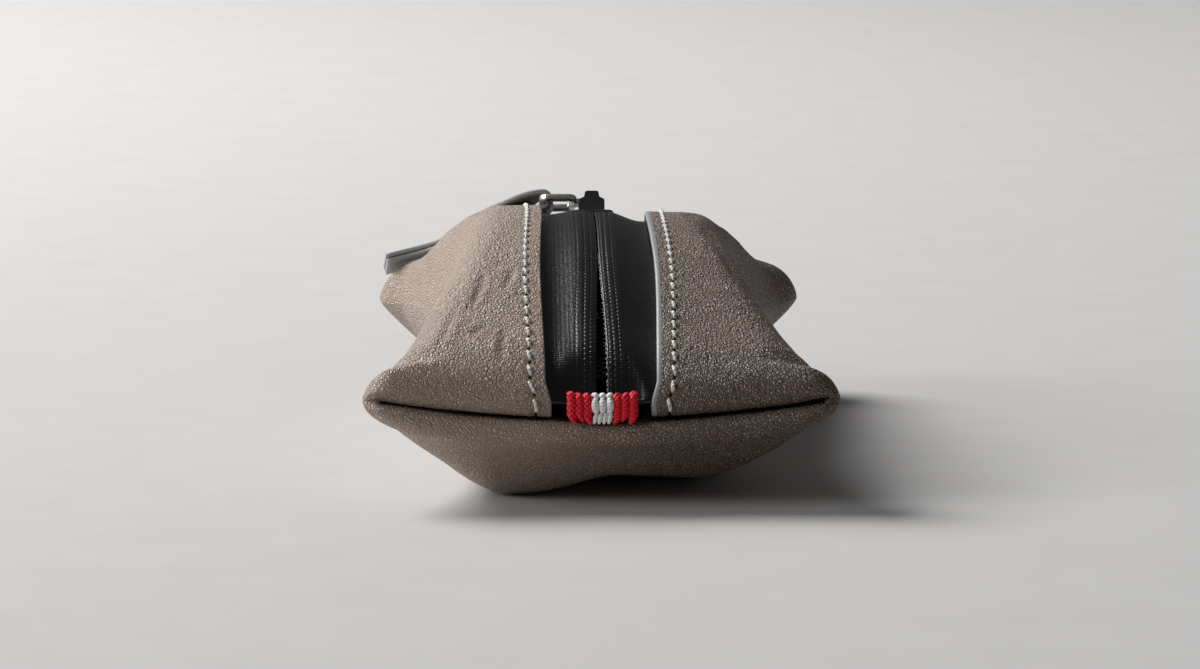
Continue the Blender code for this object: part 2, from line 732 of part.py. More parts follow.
def folded_strip(name, frames, wrap, width, thickness, colour, origin):
    """Strip folded in two round a bar.

    frames are (point, ahead, across, up, half gap) along the middle between the two plies, starting at
    the bar; wrap is the radius of the strip's middle line where it goes round the bar.
    """
    def ring(centre, across, out):
        w, t = across * width / 2, out * thickness / 2
        return [centre + w + t, centre - w + t, centre - w - t, centre + w - t]

    rings = [ring(point + up * gap, across, up) for point, ahead, across, up, gap in reversed(frames)]
    point, ahead, across, up, gap = frames[0]
    turns = 8
    for k in range(1, turns):
        angle = math.pi * k / turns
        out = up * math.cos(angle) - ahead * math.sin(angle)
        rings.append(ring(point + out * wrap, across, out))
    rings += [ring(point - up * gap, across, -up) for point, ahead, across, up, gap in frames]
    return sweep(name, rings, colour, origin)


def strip_frames(curve, across_start, across_end, wrap, closed_half, closes_after, count):
    """Frames for folded_strip along a cubic curve, with the plies drawing together after the bar."""
    frames = []
    length = 0.0
    last = Vector(curve[0])
    for k in range(count + 1):
        t = k / count
        point = Vector(bezier(curve, t))
        after, before = bezier(curve, min(1.0, t + 0.01)), bezier(curve, max(0.0, t - 0.01))
        ahead = (Vector(after) - Vector(before)).normalized()
        across = across_start.lerp(across_end, ease(t))
        up = ahead.cross(across).normalized()
        if up.z < 0:
            up = -up
        across = (across - ahead * across.dot(ahead)).normalized()
        length += (point - last).length
        last = point
        frames.append((point, ahead, across, up, mix(wrap, closed_half, ease(length / closes_after))))
    return frames


def make_pull_strap():
    """Leather strip looped through the puller and draped over the left shoulder."""
    place = Seat(PIN_HEIGHT)
    bar = place.at(-FRAME_NEAR - FRAME_LENGTH, 0.0, 0.0)
    end = Vector((STRAP_END_FROM_EAR - END_WIDTH / 2, HALF_LENGTH - STRAP_END_FROM_SEAM,
                  SEAM_HEIGHT + STRAP_END_OVER_SEAM))
    arrive = Vector(STRAP_ARRIVES).normalized()
    curve = (bar, bar + place.turned(STRAP_LEAVES), place.origin + place.turned(STRAP_MIDDLE),
             end - arrive * STRAP_LAST_REACH * (end - bar).length, end)
    wrap = FRAME_WIRE / 2 + FIT + STRAP_THICKNESS / 2
    closed_half = (STRAP_THICKNESS + STRAP_PLY_GAP) / 2
    frames = strip_frames(curve, place.along, Vector(STRAP_ACROSS_AT_END), wrap, closed_half,
                          STRAP_CLOSES_AFTER, 20)
    folded_strip("pull_strap", frames, wrap, STRAP_WIDTH, STRAP_THICKNESS,
                 material("grey_strap_leather", (0.33, 0.34, 0.35), 0.6), bar)


# What is sewn into the seams, and the key ring

def make_end_ribbon():
    """Folded ribbon that stands up against the zip from the front seam, its tail inside the seam."""
    seam_y, seam_z = drop_curve()[3]
    lean = math.tan(SEAM_SLOPE)
    back_gap = FIT / math.sin(SEAM_SLOPE)
    thick = RIBBON_THICKNESS / math.sin(SEAM_SLOPE)
    low = SEAM_HEIGHT + FIT
    tail_top = low + RIBBON_TAIL_THICKNESS
    top = SEAM_HEIGHT + RIBBON_HEIGHT

    def back(z):
        return seam_y + back_gap - (z - seam_z) / lean

    inner = seam_y - RIBBON_TAIL
    shoulder = top - 0.6 * RIBBON_THICKNESS
    crown = (back(top) + thick / 2, top)
    foot = low + RIBBON_FOOT
    section = [(inner, low), (back(low) + 0.45 * thick, low), (back(low) + 0.85 * thick, low + RIBBON_EDGE),
               (back(foot) + thick, foot), (back(shoulder) + thick, shoulder),
               (back(top) + 0.86 * thick, top - RIBBON_EDGE), crown,
               (back(top) + 0.14 * thick, top - RIBBON_EDGE), (back(shoulder), shoulder),
               (back(tail_top), tail_top), (inner, tail_top)]
    rings = [[Vector((x, -y, z)) for y, z in section] for x in (-RIBBON_WIDTH / 2, RIBBON_WIDTH / 2)]
    sweep("end_ribbon", rings, material("striped_ribbon", (0.55, 0.02, 0.03), 0.8))


def ring_section_height():
    return RING_TURNS * RING_WIRE + (RING_TURNS - 1) * RING_TURN_GAP


def tab_wrap():
    """Radius of the tab's middle line round the key ring, clear of the ring's curve across the tab."""
    radius = (RING_DIAMETER - RING_WIRE) / 2
    sag = radius - math.sqrt(radius ** 2 - (TAB_WIDTH / 2) ** 2)
    corner = math.hypot(RING_WIRE / 2 + sag, ring_section_height() / 2)
    return corner + FIT + STRAP_THICKNESS / 2


def tab_loop():
    return Vector((TAB_OFFSET, HALF_LENGTH - TAB_REACH, TAB_LOOP_HEIGHT))


def make_key_tab():
    """Leather tab that holds the key ring, sewn under the rear allowance."""
    ply_half = (STRAP_THICKNESS + STRAP_PLY_GAP) / 2
    sewn_z = SEAM_HEIGHT - SLEEVE_HALF - LEATHER / 2 - FIT - ply_half - STRAP_THICKNESS / 2
    end = Vector((TAB_OFFSET, HALF_LENGTH - TAB_SEWN_IN, sewn_z))
    loop = tab_loop()
    reach = 0.4 * (end - loop).length
    rise = Vector(TAB_RISES).normalized()
    curve = (loop, loop + rise * reach, end - Vector((0, reach, 0)), end)
    across = Vector((1, 0, 0))
    frames = strip_frames(curve, across, across, tab_wrap(), ply_half, TAB_CLOSES_AFTER, 8)
    folded_strip("key_tab", frames, tab_wrap(), TAB_WIDTH, STRAP_THICKNESS,
                 material("tab_leather", (0.20, 0.155, 0.12), 0.6), (0.0, 0.0, 0.0))


def ring_level(angle):
    """Height of the wire over the ring's middle: one turn low, one high, with a jog between them."""
    step = (RING_WIRE + RING_TURN_GAP) / 2
    return -step + 2 * step * ease((angle - (2 * math.pi - RING_JOG)) / (2 * RING_JOG))


def make_key_ring():
    """Split ring of flat wire, lying on the floor of the pouch and held by the tab."""
    loop = tab_loop()
    radius = (RING_DIAMETER - RING_WIRE) / 2
    rest = LEATHER + FIT + ring_section_height() / 2
    slope = math.asin((loop.z - rest) / (2 * radius))
    outward = Vector((0, -math.cos(slope), -math.sin(slope)))
    up = Vector((0, -math.sin(slope), math.cos(slope)))
    centre = loop + outward * radius
    steps = 40
    rings = []
    for k in range(steps * RING_TURNS + 1):
        angle = mix(RING_JOG, 2 * math.pi * RING_TURNS - RING_JOG, k / (steps * RING_TURNS))
        out = Vector((math.cos(angle), 0, 0)) + outward * math.sin(angle)
        level = ring_level(angle)
        half = RING_WIRE / 2
        rings.append([centre + out * (radius + side) + up * (level + lift)
                      for side, lift in ((-half, -half), (half, -half), (half, half), (-half, half))])
    sweep("key_ring", rings, material("nickel_ring", (0.60, 0.59, 0.57), 0.3, 1.0), loop)


def build():
    clear_objects()
    make_leather_body()
    tape = material("coated_tape", (0.02, 0.02, 0.022), 0.35)
    make_tape("zip_tape_left", -1, tape)
    make_tape("zip_tape_right", 1, tape)
    coil = material("zip_coil", (0.025, 0.025, 0.027), 0.45)
    make_coil("zip_coil_left", -1, coil)
    make_coil("zip_coil_right", 1, coil)
    make_slider()
    make_puller()
    make_pull_strap()
    make_end_ribbon()
    make_key_tab()
    make_key_ring()


build()
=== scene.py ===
"""Looks of the zip key pouch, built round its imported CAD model.

Metres, +Z up, in the row's frame: the zip runs along Y, its front end towards -Y, and +X is to the right.
The soft pieces are lofted again from the CAD model's own formulas, finer and with their folds and stitches.
"""

import bisect
import itertools
import math
import random

import bmesh
import bpy
import numpy as np
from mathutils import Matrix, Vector, noise


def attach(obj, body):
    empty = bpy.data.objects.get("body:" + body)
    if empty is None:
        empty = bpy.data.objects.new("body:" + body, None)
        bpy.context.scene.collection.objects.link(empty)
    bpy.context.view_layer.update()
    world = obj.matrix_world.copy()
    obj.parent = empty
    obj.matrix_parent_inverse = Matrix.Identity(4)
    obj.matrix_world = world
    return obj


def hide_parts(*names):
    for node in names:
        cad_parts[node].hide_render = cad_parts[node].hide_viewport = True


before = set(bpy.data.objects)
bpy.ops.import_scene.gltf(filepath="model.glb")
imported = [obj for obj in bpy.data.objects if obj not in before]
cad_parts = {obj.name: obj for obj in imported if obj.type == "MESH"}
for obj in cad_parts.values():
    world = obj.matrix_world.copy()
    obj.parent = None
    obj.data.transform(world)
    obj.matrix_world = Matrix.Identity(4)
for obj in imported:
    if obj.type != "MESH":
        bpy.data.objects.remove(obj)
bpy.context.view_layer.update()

# Sizes of the CAD model
SEAM_TO_SEAM = 0.130
END_WIDTH = 0.085
WAIST_WIDTH = 0.054
ZIP_CREST_HEIGHT = 0.0438
SEAM_HEIGHT = 0.0155
EAR_LIFT = 0.0038
LEATHER = 0.0011
FIT = 0.0003
SEAM_ALLOWANCE = 0.006
SEAM_GAP = 0.0006
TOP_FOLD_RADIUS = 0.0012
BOTTOM_ROLL_RADIUS = 0.0018
BOTTOM_ROLL_OUT = 0.0022
SIDE_HEIGHT = 0.021
BASE_REACH = 0.052
DENT_DEPTH = 0.0043
DENT_LENGTH = 0.028
DENT_LEFT = 0.0095
DENT_RIGHT = 0.026
DENT_OFFSET = 0.003
DENT_FADES_OVER = 0.009
SHOULDER_EAR = 0.0045
FRONT_SHOULDERS = ((0.0, 0.0125), (0.82, 0.0098), (0.93, 0.0135), (1.0, SHOULDER_EAR))
REAR_SHOULDERS = ((0.0, 0.0125), (0.8, 0.0074), (1.0, SHOULDER_EAR))
TOP_POWER_WAIST = 0.7
TOP_POWER_FRONT = 1.15
TOP_POWER_REAR = 1.0
BOTTOM_POWER_WAIST = 0.75
BOTTOM_POWER_END = 1.3
BOTTOM_FLAT_WAIST = 0.014
BOTTOM_FLAT_BETWEEN = 0.0165
BOTTOM_FLAT_EAR = 0.020
EAR_INSET = 0.0015
EAR_BULGE = 0.0007
EAR_ROUNDING = 0.0018
SLEEVE_CLOSES_AFTER = 0.002
ZIP_ARC_RADIUS = 0.100
ZIP_ARC_REACH = 0.047
SEAM_SLOPE = math.radians(70)
ROLL_SLOPE = math.radians(40)
ZIP_OPENING = 0.0205
TAPE = 0.0007
TAPE_UNDER_LEATHER = 0.006
TAPE_TURN_RADIUS = 0.0008
TAPE_TURN_FROM_SEAM = 0.0016
TAPE_TAIL = 0.004
COIL_HEIGHT = 0.0020
COIL_REACH = 0.0027
TOOTH_PAST_MIDDLE = 0.00055
COIL_END = 0.006
SLIDER_PLACE = 0.031
SLIDER_LENGTH = 0.012
POST_WIDTH = 0.0009
POST_LENGTH = 0.0032
POST_FROM_NOSE = 0.0003
PIN_HEIGHT = 0.0038
FRAME_WIRE = 0.0016
FRAME_NEAR = 0.0037
FRAME_LENGTH = 0.0059
STRAP_WIDTH = 0.008
STRAP_THICKNESS = 0.0010
STRAP_END_FROM_EAR = 0.0013
STRAP_END_FROM_SEAM = 0.0021
STRAP_END_OVER_SEAM = 0.0107
STRAP_LEAVES = (-0.01224, 0.0, -0.0004)
STRAP_MIDDLE = (-0.0198, 0.0306, -0.00195)
STRAP_ARRIVES = (-0.695, -0.158, -0.176)
STRAP_LAST_REACH = 0.309
STRAP_ACROSS_AT_END = (0.433, 1.354, -0.488)
STRAP_PLY_GAP = 0.00015
STRAP_CLOSES_AFTER = 0.0065
TAB_WIDTH = 0.008
TAB_OFFSET = 0.003
TAB_REACH = 0.021
TAB_LOOP_HEIGHT = 0.0078
TAB_SEWN_IN = 0.003
TAB_CLOSES_AFTER = 0.007
TAB_RISES = (0.0, 0.92, 0.39)
RIBBON_WIDTH = 0.0123
RIBBON_THICKNESS = 0.0018
RIBBON_HEIGHT = 0.0056
RING_DIAMETER = 0.025
RING_WIRE = 0.0014
RING_TURN_GAP = 0.0003

# Worked out from those above, as in the CAD model
HALF_LENGTH = SEAM_TO_SEAM / 2
ARC_ANGLE = math.asin(ZIP_ARC_REACH / ZIP_ARC_RADIUS)
ARC_CENTRE_Z = ZIP_CREST_HEIGHT - ZIP_ARC_RADIUS
ARC_LENGTH = ZIP_ARC_RADIUS * ARC_ANGLE
LEATHER_LIFT = FIT + LEATHER / 2
SLEEVE_HALF = (SEAM_GAP + LEATHER) / 2
SIDE_HALF = (WAIST_WIDTH - LEATHER) / 2
EAR_HALF = (END_WIDTH - LEATHER) / 2
STRAP_PLY_HALF = (STRAP_THICKNESS + STRAP_PLY_GAP) / 2
SLIDER_ANGLE = math.asin(SLIDER_PLACE / ZIP_ARC_RADIUS)
SLIDER_S = ZIP_ARC_RADIUS * SLIDER_ANGLE
NOSE_SPREAD = TOOTH_PAST_MIDDLE + POST_WIDTH / 2 + FIT

# Everything from here on serves the looks only. How far the pouch leans to the right towards its crest
LEAN = 0.00075
LEAN_REACH = 0.011
LEAN_FROM = 0.020
LEAN_OVER = 0.020

# The leather: its window, how it is pressed down off the seams, its cut edge, waves and grid
WINDOW_BOW = 0.0006
WINDOW_PINCH = 0.0010
WINDOW_PINCHED_FROM = 0.93
PRESS = 0.0006
RISES_FROM_SEAM = 0.001
RISES_OVER = 0.008
RIM_POINTS = 6
RIM_ROUND_LEFT = 0.2
RIM_ROUND_RIGHT = 0.50
WAVE_DEPTH = 0.00022
ROW_STEP = 0.00045
EDGE_STEP = 0.00030
EDGE_BAND = 0.0048
PANEL_COUNT = 150
FOLD_COUNT = 16
RUN_COUNT = 16
CORNER_COUNT = 48
SLEEVE_DEPTHS = (0.0005, 0.001, 0.0015, 0.002, 0.004, SEAM_ALLOWANCE)

# Creases on the leather's upper side, as (x, y) lines with their depth and half width
CREASES_ABOVE = 0.017
CREASES = [
    ([(0.0245, -0.030), (0.0222, -0.020), (0.0212, -0.008), (0.0216, 0.004)], 0.00030, 0.0010),
    ([(0.0222, -0.026), (0.0200, -0.014), (0.0196, -0.002)], 0.00020, 0.0009),
    ([(0.0262, -0.036), (0.0240, -0.028), (0.0232, -0.014)], 0.00024, 0.0010),
    ([(0.0180, -0.004), (0.0186, 0.006), (0.0198, 0.014)], 0.00022, 0.0010),
    ([(-0.0204, -0.0345), (-0.0222, -0.0440), (-0.0234, -0.0480)], 0.00034, 0.0006),
    ([(-0.0258, -0.0460), (-0.0276, -0.0537), (-0.0292, -0.0592)], 0.00034, 0.0006),
    ([(-0.0203, -0.0517), (-0.0220, -0.0537), (-0.0236, -0.0552)], 0.00030, 0.0006),
    ([(-0.0168, -0.0525), (-0.0179, -0.0570), (-0.0178, -0.0605)], 0.00032, 0.0006),
    ([(-0.0154, -0.0340), (-0.0164, -0.0390), (-0.0176, -0.0435)], 0.00032, 0.0006),
    ([(-0.0238, -0.0360), (-0.0262, -0.0410), (-0.0300, -0.0460)], 0.00026, 0.0007),
    ([(0.0300, -0.050), (0.0250, -0.045), (0.0215, -0.038)], 0.00022, 0.0012),
    ([(-0.0235, 0.030), (-0.0212, 0.018), (-0.0205, 0.004)], 0.00035, 0.0010),
    ([(-0.0300, 0.046), (-0.0262, 0.036), (-0.0240, 0.024)], 0.00035, 0.0011),
    ([(0.0285, 0.044), (0.0245, 0.032), (0.0228, 0.018)], 0.00035, 0.0010),
]

# The stitches, the groove that they lie in, and the dark plugs of painted shade in their holes as (share of
# full size, height) rings
STITCH_INSET = 0.0026
STITCH_PITCH = 0.0032
STITCH_LENGTH = 0.0023
STITCH_WIDTH = 0.00070
STITCH_SLANT = 0.00050
STITCH_SUNK = 0.0002
STITCH_RISE = 0.00036
STITCH_DIVE = 0.0002
STITCH_PLIES = 3
STITCH_TWIST = 9.0
STITCH_STEPS = 15
GROOVE_WIDTH = 0.0006
GROOVE_DEPTH = 0.00012
GROOVE_DEPTH_AT_HOLES = 0.00016
HOLE_ACROSS = 0.00034
HOLE_ALONG = 0.00052
HOLE_RINGS = ((0.15, 0.00012), (0.75, 0.00006), (1.0, -0.0001), (0.8, -0.0004))

# The lips of the tape, the wire of the coils, and the painted glints, light grey beads along the right lip
LIP_RADIUS = 0.00035
LIP_DROP = 0.0006
LIP_GAP_CREST = 0.00006
LIP_GAP_FRONT = 0.00090
LIPS_PART_AT = 0.022
LIPS_PART_OVER = 0.046
COIL_WIRE = 0.00027
GLINTS_FROM = -0.0262
GLINTS_TO = -0.0698
GLINTS_THIN_OUT = -0.045
GLINT_LENGTHS = (0.00035, 0.00085)
GLINT_RADII = (0.00007, 0.00013)
GLINT_GAPS = (0.00005, 0.0006)
GLINT_LEVEL = -0.00016

# The tape's rows of knitting, as (distance from the lip, depth of its holes)
KNIT_PITCH = 0.00118
KNIT_ROWS = ((0.00048, 0.00012), (0.0013, 0.00014), (0.0024, 0.00016), (0.0038, 0.00008))
KNIT_ROW_WIDTH = 0.00017
KNIT_BAND = 0.0046
KNIT_STEP = 0.00011
TAPE_REST_COUNT = 34
TAPE_THINNEST = 0.0003

# The tape's bulge over the coil, its sag beside it, and its dip and right-hand fold at the front seam
BULGE = 0.00030
BULGE_AT = 0.0026
BULGE_WIDTH = 0.0021
SAG_LEFT = 0.0008
SAG_RIGHT = 0.0012
SAG_FROM = 0.0035
SAG_OVER = 0.0055
SAG_FADES_OVER = 0.02
END_SAG = 0.0005
END_SAG_FROM = 0.006
END_SAG_OVER = 0.003
DIP = 0.0013
DIP_WIDTHS = (0.0035, 0.0080)
DIP_FROM_SEAM = 0.014
DIP_OVER = 0.012
FOLD = 0.00035
FOLD_WIDTH = 0.0009
FOLD_PLACES = (0.0045, 0.0080)

# The ribbon: its dip in the middle, columns of slanted red strokes, long white strands, and flat core
RIBBON_DIP = 0.0006
RIBBON_PULLED_IN = 0.0012
RIBBON_FACE = (RIBBON_HEIGHT - FIT) / math.sin(SEAM_SLOPE) - RIBBON_THICKNESS / 2 - RIBBON_PULLED_IN
RIBBON_LENGTH = 2 * RIBBON_FACE + math.pi * RIBBON_THICKNESS / 2
RIBBON_WHITE = 0.0020
RIBBON_COLUMNS = 3
RIBBON_COLUMN = (RIBBON_WIDTH / 2 - RIBBON_WHITE) / RIBBON_COLUMNS
RIBBON_ROW = 0.00098
RIBBON_FIRST_ROW = -0.0003
STROKES_TURN_AT = RIBBON_FACE + 0.0014
STROKE_REACH = 0.58
STROKE_RISE = 1.10
STROKE_WIDTH = 0.00098
STROKE_LIFT = 0.00026
STRAND_WIDTH = 0.00142
STRAND_PITCH = 0.00134
STRAND_LEAN = 0.00045
STRAND_LIFT = 0.00042
STRAND_BEND = 0.0009
STRANDS = ((0.0005, RIBBON_FACE + 0.0006), (RIBBON_FACE + 0.0004, RIBBON_FACE + 0.0032),
           (RIBBON_FACE + 0.0032, RIBBON_LENGTH))
FOOT_STRANDS = 4
FOOT_PITCH = 0.00086
FOOT_WIDTH = 0.00090
FOOT_LIFT = 0.00014
FOOT_LINE = ((-0.0003, -0.0013), (0.0, -0.0003), (0.0003, 0.0009))
CORE_INSET = 0.0003
CORE_TOP = -0.00030
CORE_BOTTOM = -0.00075
CORE_STEPS = 40

# Light and camera
MIDDLE = (0.0, 0.0, 0.02)
KEY_PLACE = (-1.19, 0.95, 1.36)
KEY_SIZE = 1.0
KEY_WATTS = 54.0
SIDE_PLACE = (-1.79, -0.48, 0.77)
SIDE_SIZE = 0.8
SIDE_WATTS = 13.0
ROOM = 0.09
CAMERA_PLACE = (-0.0187, -0.8958, 0.157)
CAMERA_AIM = (-0.00044, -0.065, 0.031)
CAMERA_LENS = 142.5
FLOOR_REACH = 4.0

ACROSS = Vector((1, 0, 0))


def mix(a, b, t):
    return a + (b - a) * t


def ease(t):
    """0 to 1 with level ends."""
    t = min(1.0, max(0.0, t))
    return t * t * (3 - 2 * t)


def eased(shares):
    """The same for an array."""
    shares = np.clip(shares, 0.0, 1.0)
    return shares * shares * (3 - 2 * shares)


def bell(x, width, power=2):
    """1 at x = 0, falling to nothing on both sides."""
    return np.exp(-(x / width) ** power) if isinstance(x, np.ndarray) else math.exp(-(x / width) ** power)


def angles(count):
    """Even angles round a circle."""
    return [2 * math.pi * k / count for k in range(count)]


def circle(centre, across, up, count):
    """Points round a centre; across and up are the half axes."""
    return [centre + across * math.cos(a) + up * math.sin(a) for a in angles(count)]


def bezier(points, t):
    """A point of the smooth curve steered by its control points, of any number of coordinates."""
    points = [list(p) for p in points]
    while len(points) > 1:
        points = [[mix(a, b, t) for a, b in zip(p, q)] for p, q in zip(points, points[1:])]
    return points[0]


# The zip line

def top_fold_centre():
    return HALF_LENGTH - TOP_FOLD_RADIUS, SEAM_HEIGHT + SLEEVE_HALF + TOP_FOLD_RADIUS


def drop_curve():
    """The steep end of the zip line, from the end of its arc down to the fold at the seam."""
    centre_y, centre_z = top_fold_centre()
    inward = TOP_FOLD_RADIUS - LEATHER_LIFT
    end = (centre_y + inward * math.sin(SEAM_SLOPE), centre_z + inward * math.cos(SEAM_SLOPE))
    start = (ZIP_ARC_REACH, ARC_CENTRE_Z + ZIP_ARC_RADIUS * math.cos(ARC_ANGLE))
    reach = 0.42 * math.dist(start, end)
    first = (start[0] + reach * math.cos(ARC_ANGLE), start[1] - reach * math.sin(ARC_ANGLE))
    second = (end[0] - reach * math.cos(SEAM_SLOPE), end[1] + reach * math.sin(SEAM_SLOPE))
    return start, first, second, end


DROP = [bezier(drop_curve(), k / 200) for k in range(201)]
DROP_RUN = [0.0, *itertools.accumulate(math.dist(a, b) for a, b in zip(DROP, DROP[1:]))]
ZIP_HALF = ARC_LENGTH + DROP_RUN[-1]


def zip_rail(s):
    """Place (y, z) and normal of the tape's upper face at the distance s from the crest, rear positive."""
    side = 1 if s >= 0 else -1
    along = abs(s)
    if along <= ARC_LENGTH:
        angle = along / ZIP_ARC_RADIUS
        normal = (side * math.sin(angle), math.cos(angle))
        return (ZIP_ARC_RADIUS * normal[0], ARC_CENTRE_Z + ZIP_ARC_RADIUS * normal[1]), normal
    k = min(bisect.bisect_left(DROP_RUN, along - ARC_LENGTH), len(DROP) - 1)
    (y0, z0), (y1, z1) = DROP[k - 1], DROP[k]
    run = math.dist((y0, z0), (y1, z1))
    t = (along - ARC_LENGTH - DROP_RUN[k - 1]) / (DROP_RUN[k] - DROP_RUN[k - 1])
    return (side * mix(y0, y1, t), mix(z0, z1, t)), (side * (z0 - z1) / run, (y1 - y0) / run)


def on_zip(x, s, up):
    (y, z), (ny, nz) = zip_rail(s)
    return Vector((x, y + up * ny, z + up * nz))


def ear_rise(x, t):
    return EAR_LIFT * t ** 4 * (x / EAR_HALF) ** 2


def lean(points):
    """The pouch leans a little to the right towards its crest, as it does in the photograph."""
    points = np.array(points, float)
    high = eased((points[:, 2] - LEAN_FROM) / LEAN_OVER)
    points[:, 2] -= LEAN * np.tanh(points[:, 0] / LEAN_REACH) * high
    return points


# Meshes

def linked(name, data):
    """A new object in the scene that holds the data."""
    thing = bpy.data.objects.new(name, data)
    bpy.context.scene.collection.objects.link(thing)
    return thing


def add_mesh(name, points, faces, materials, body, slots=None, uvs=None):
    """Smooth mesh that rides on a body; slots gives each face's material, uvs each vertex's (u, v)."""
    mesh = bpy.data.meshes.new(name)
    mesh.from_pydata([tuple(p) for p in points], [], faces)
    for made in materials:
        mesh.materials.append(made)
    if slots is not None:
        mesh.polygons.foreach_set("material_index", np.array(slots, np.int32))
    mesh.shade_smooth()
    if uvs is not None:
        layer = mesh.uv_layers.new(name="metres")
        corners = np.zeros(len(mesh.loops), np.int32)
        mesh.loops.foreach_get("vertex_index", corners)
        layer.data.foreach_set("uv", np.array(uvs, np.float32)[corners].ravel())
    turned = bmesh.new()
    turned.from_mesh(mesh)
    bmesh.ops.recalc_face_normals(turned, faces=turned.faces)
    turned.to_mesh(mesh)
    turned.free()
    mesh.update()
    thing = linked(name, mesh)
    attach(thing, body)
    return thing


def tube_faces(rows, columns, start=0):
    """Quads of a tube of rings, with a cap at both ends."""
    faces = []
    for r in range(start, start + (rows - 1) * columns, columns):
        for c in range(columns):
            d = (c + 1) % columns
            faces.append((r + c, r + d, r + columns + d, r + columns + c))
    last = start + (rows - 1) * columns
    return faces + [tuple(reversed(range(start, start + columns))), tuple(range(last, last + columns))]


class Bundle:
    """Many small tubes gathered into one mesh."""

    def __init__(self):
        self.points, self.faces, self.slots, self.uvs = [], [], [], []

    def tube(self, rings, slot=0, v_step=0.0):
        columns = len(rings[0])
        made = tube_faces(len(rings), columns, start=len(self.points))
        self.faces += made
        self.slots += [slot] * len(made)
        for r, ring in enumerate(rings):
            for c, p in enumerate(ring):
                self.points.append(p)
                self.uvs.append((c / columns, r * v_step))

    def add(self, name, materials, body, leans=True):
        points = [tuple(p) for p in self.points]
        return add_mesh(name, lean(points) if leans else points, self.faces, materials, body, self.slots,
                        self.uvs)


# Materials

class Look:
    """A material and short words for its nodes."""

    def __init__(self, name, colour, roughness, metallic=0.0, specular=0.5):
        self.material = bpy.data.materials.new(name)
        self.material.use_nodes = True
        self.tree = self.material.node_tree
        self.shader = self.tree.nodes["Principled BSDF"]
        self.shader.inputs["Base Color"].default_value = (*colour, 1.0)
        self.shader.inputs["Roughness"].default_value = roughness
        self.shader.inputs["Metallic"].default_value = metallic
        self.shader.inputs["Specular IOR Level"].default_value = specular

    def node(self, kind, **values):
        """A shader node; each value sets its property of that name, or sets or links its input."""
        made = self.tree.nodes.new("ShaderNode" + kind)
        for key, value in values.items():
            if hasattr(made, key):
                setattr(made, key, value)
            else:
                self.put(value, made.inputs[key.replace("_", " ")])
        return made

    def put(self, value, socket):
        if isinstance(value, bpy.types.NodeSocket):
            self.tree.links.new(value, socket)
        else:
            socket.default_value = value

    def math(self, operation, a, b=0.0):
        made = self.node("Math", operation=operation)
        self.put(a, made.inputs[0])
        self.put(b, made.inputs[1])
        return made.outputs[0]

    def sum(self, first, second, weight=1.0):
        return self.math('ADD', first, second if weight == 1.0 else self.math('MULTIPLY', second, weight))

    def wave(self, value, pitch):
        return self.math('SINE', self.math('MULTIPLY', value, 2 * math.pi / pitch))

    def place(self):
        return self.node("TexCoord").outputs["Object"]

    def uv(self):
        return self.node("UVMap", uv_map="metres").outputs[0]

    def parts(self, vector):
        return self.node("SeparateXYZ", Vector=vector).outputs

    def noise(self, vector, scale, detail=3.0, roughness=0.5):
        made = self.node("TexNoise", Vector=vector, Scale=scale, Detail=detail, Roughness=roughness)
        return made.outputs["Fac"]

    def cracks(self, vector, scale, width):
        """0 in the valleys between the cells of a pebbled surface, 1 on the pebbles."""
        made = self.node("TexVoronoi", feature='DISTANCE_TO_EDGE', Vector=vector, Scale=scale)
        return self.span(made.outputs["Distance"], 0.0, width)

    def span(self, value, low, high, to_low=0.0, to_high=1.0):
        made = self.node("MapRange", interpolation_type='SMOOTHSTEP')
        for place, number in enumerate((value, low, high, to_low, to_high)):
            self.put(number, made.inputs[place])
        return made.outputs[0]

    def scaled(self, vector, x, y, z):
        return self.node("Mapping", Vector=vector, Scale=(x, y, z)).outputs[0]

    def blend(self, share, first, second):
        made = self.node("Mix", data_type='RGBA')
        self.put(share, made.inputs[0])
        for socket, colour in ((made.inputs[6], first), (made.inputs[7], second)):
            self.put((*colour, 1.0) if isinstance(colour, tuple) else colour, socket)
        return made.outputs[2]

    def colour(self, value):
        self.put(value, self.shader.inputs["Base Color"])

    def gloss(self, value, low, high, rough_low, rough_high):
        self.put(self.span(value, low, high, rough_low, rough_high), self.shader.inputs["Roughness"])

    def bump(self, height, distance, strength=1.0):
        made = self.node("Bump", Strength=strength, Distance=distance, Height=height)
        self.put(made.outputs[0], self.shader.inputs["Normal"])


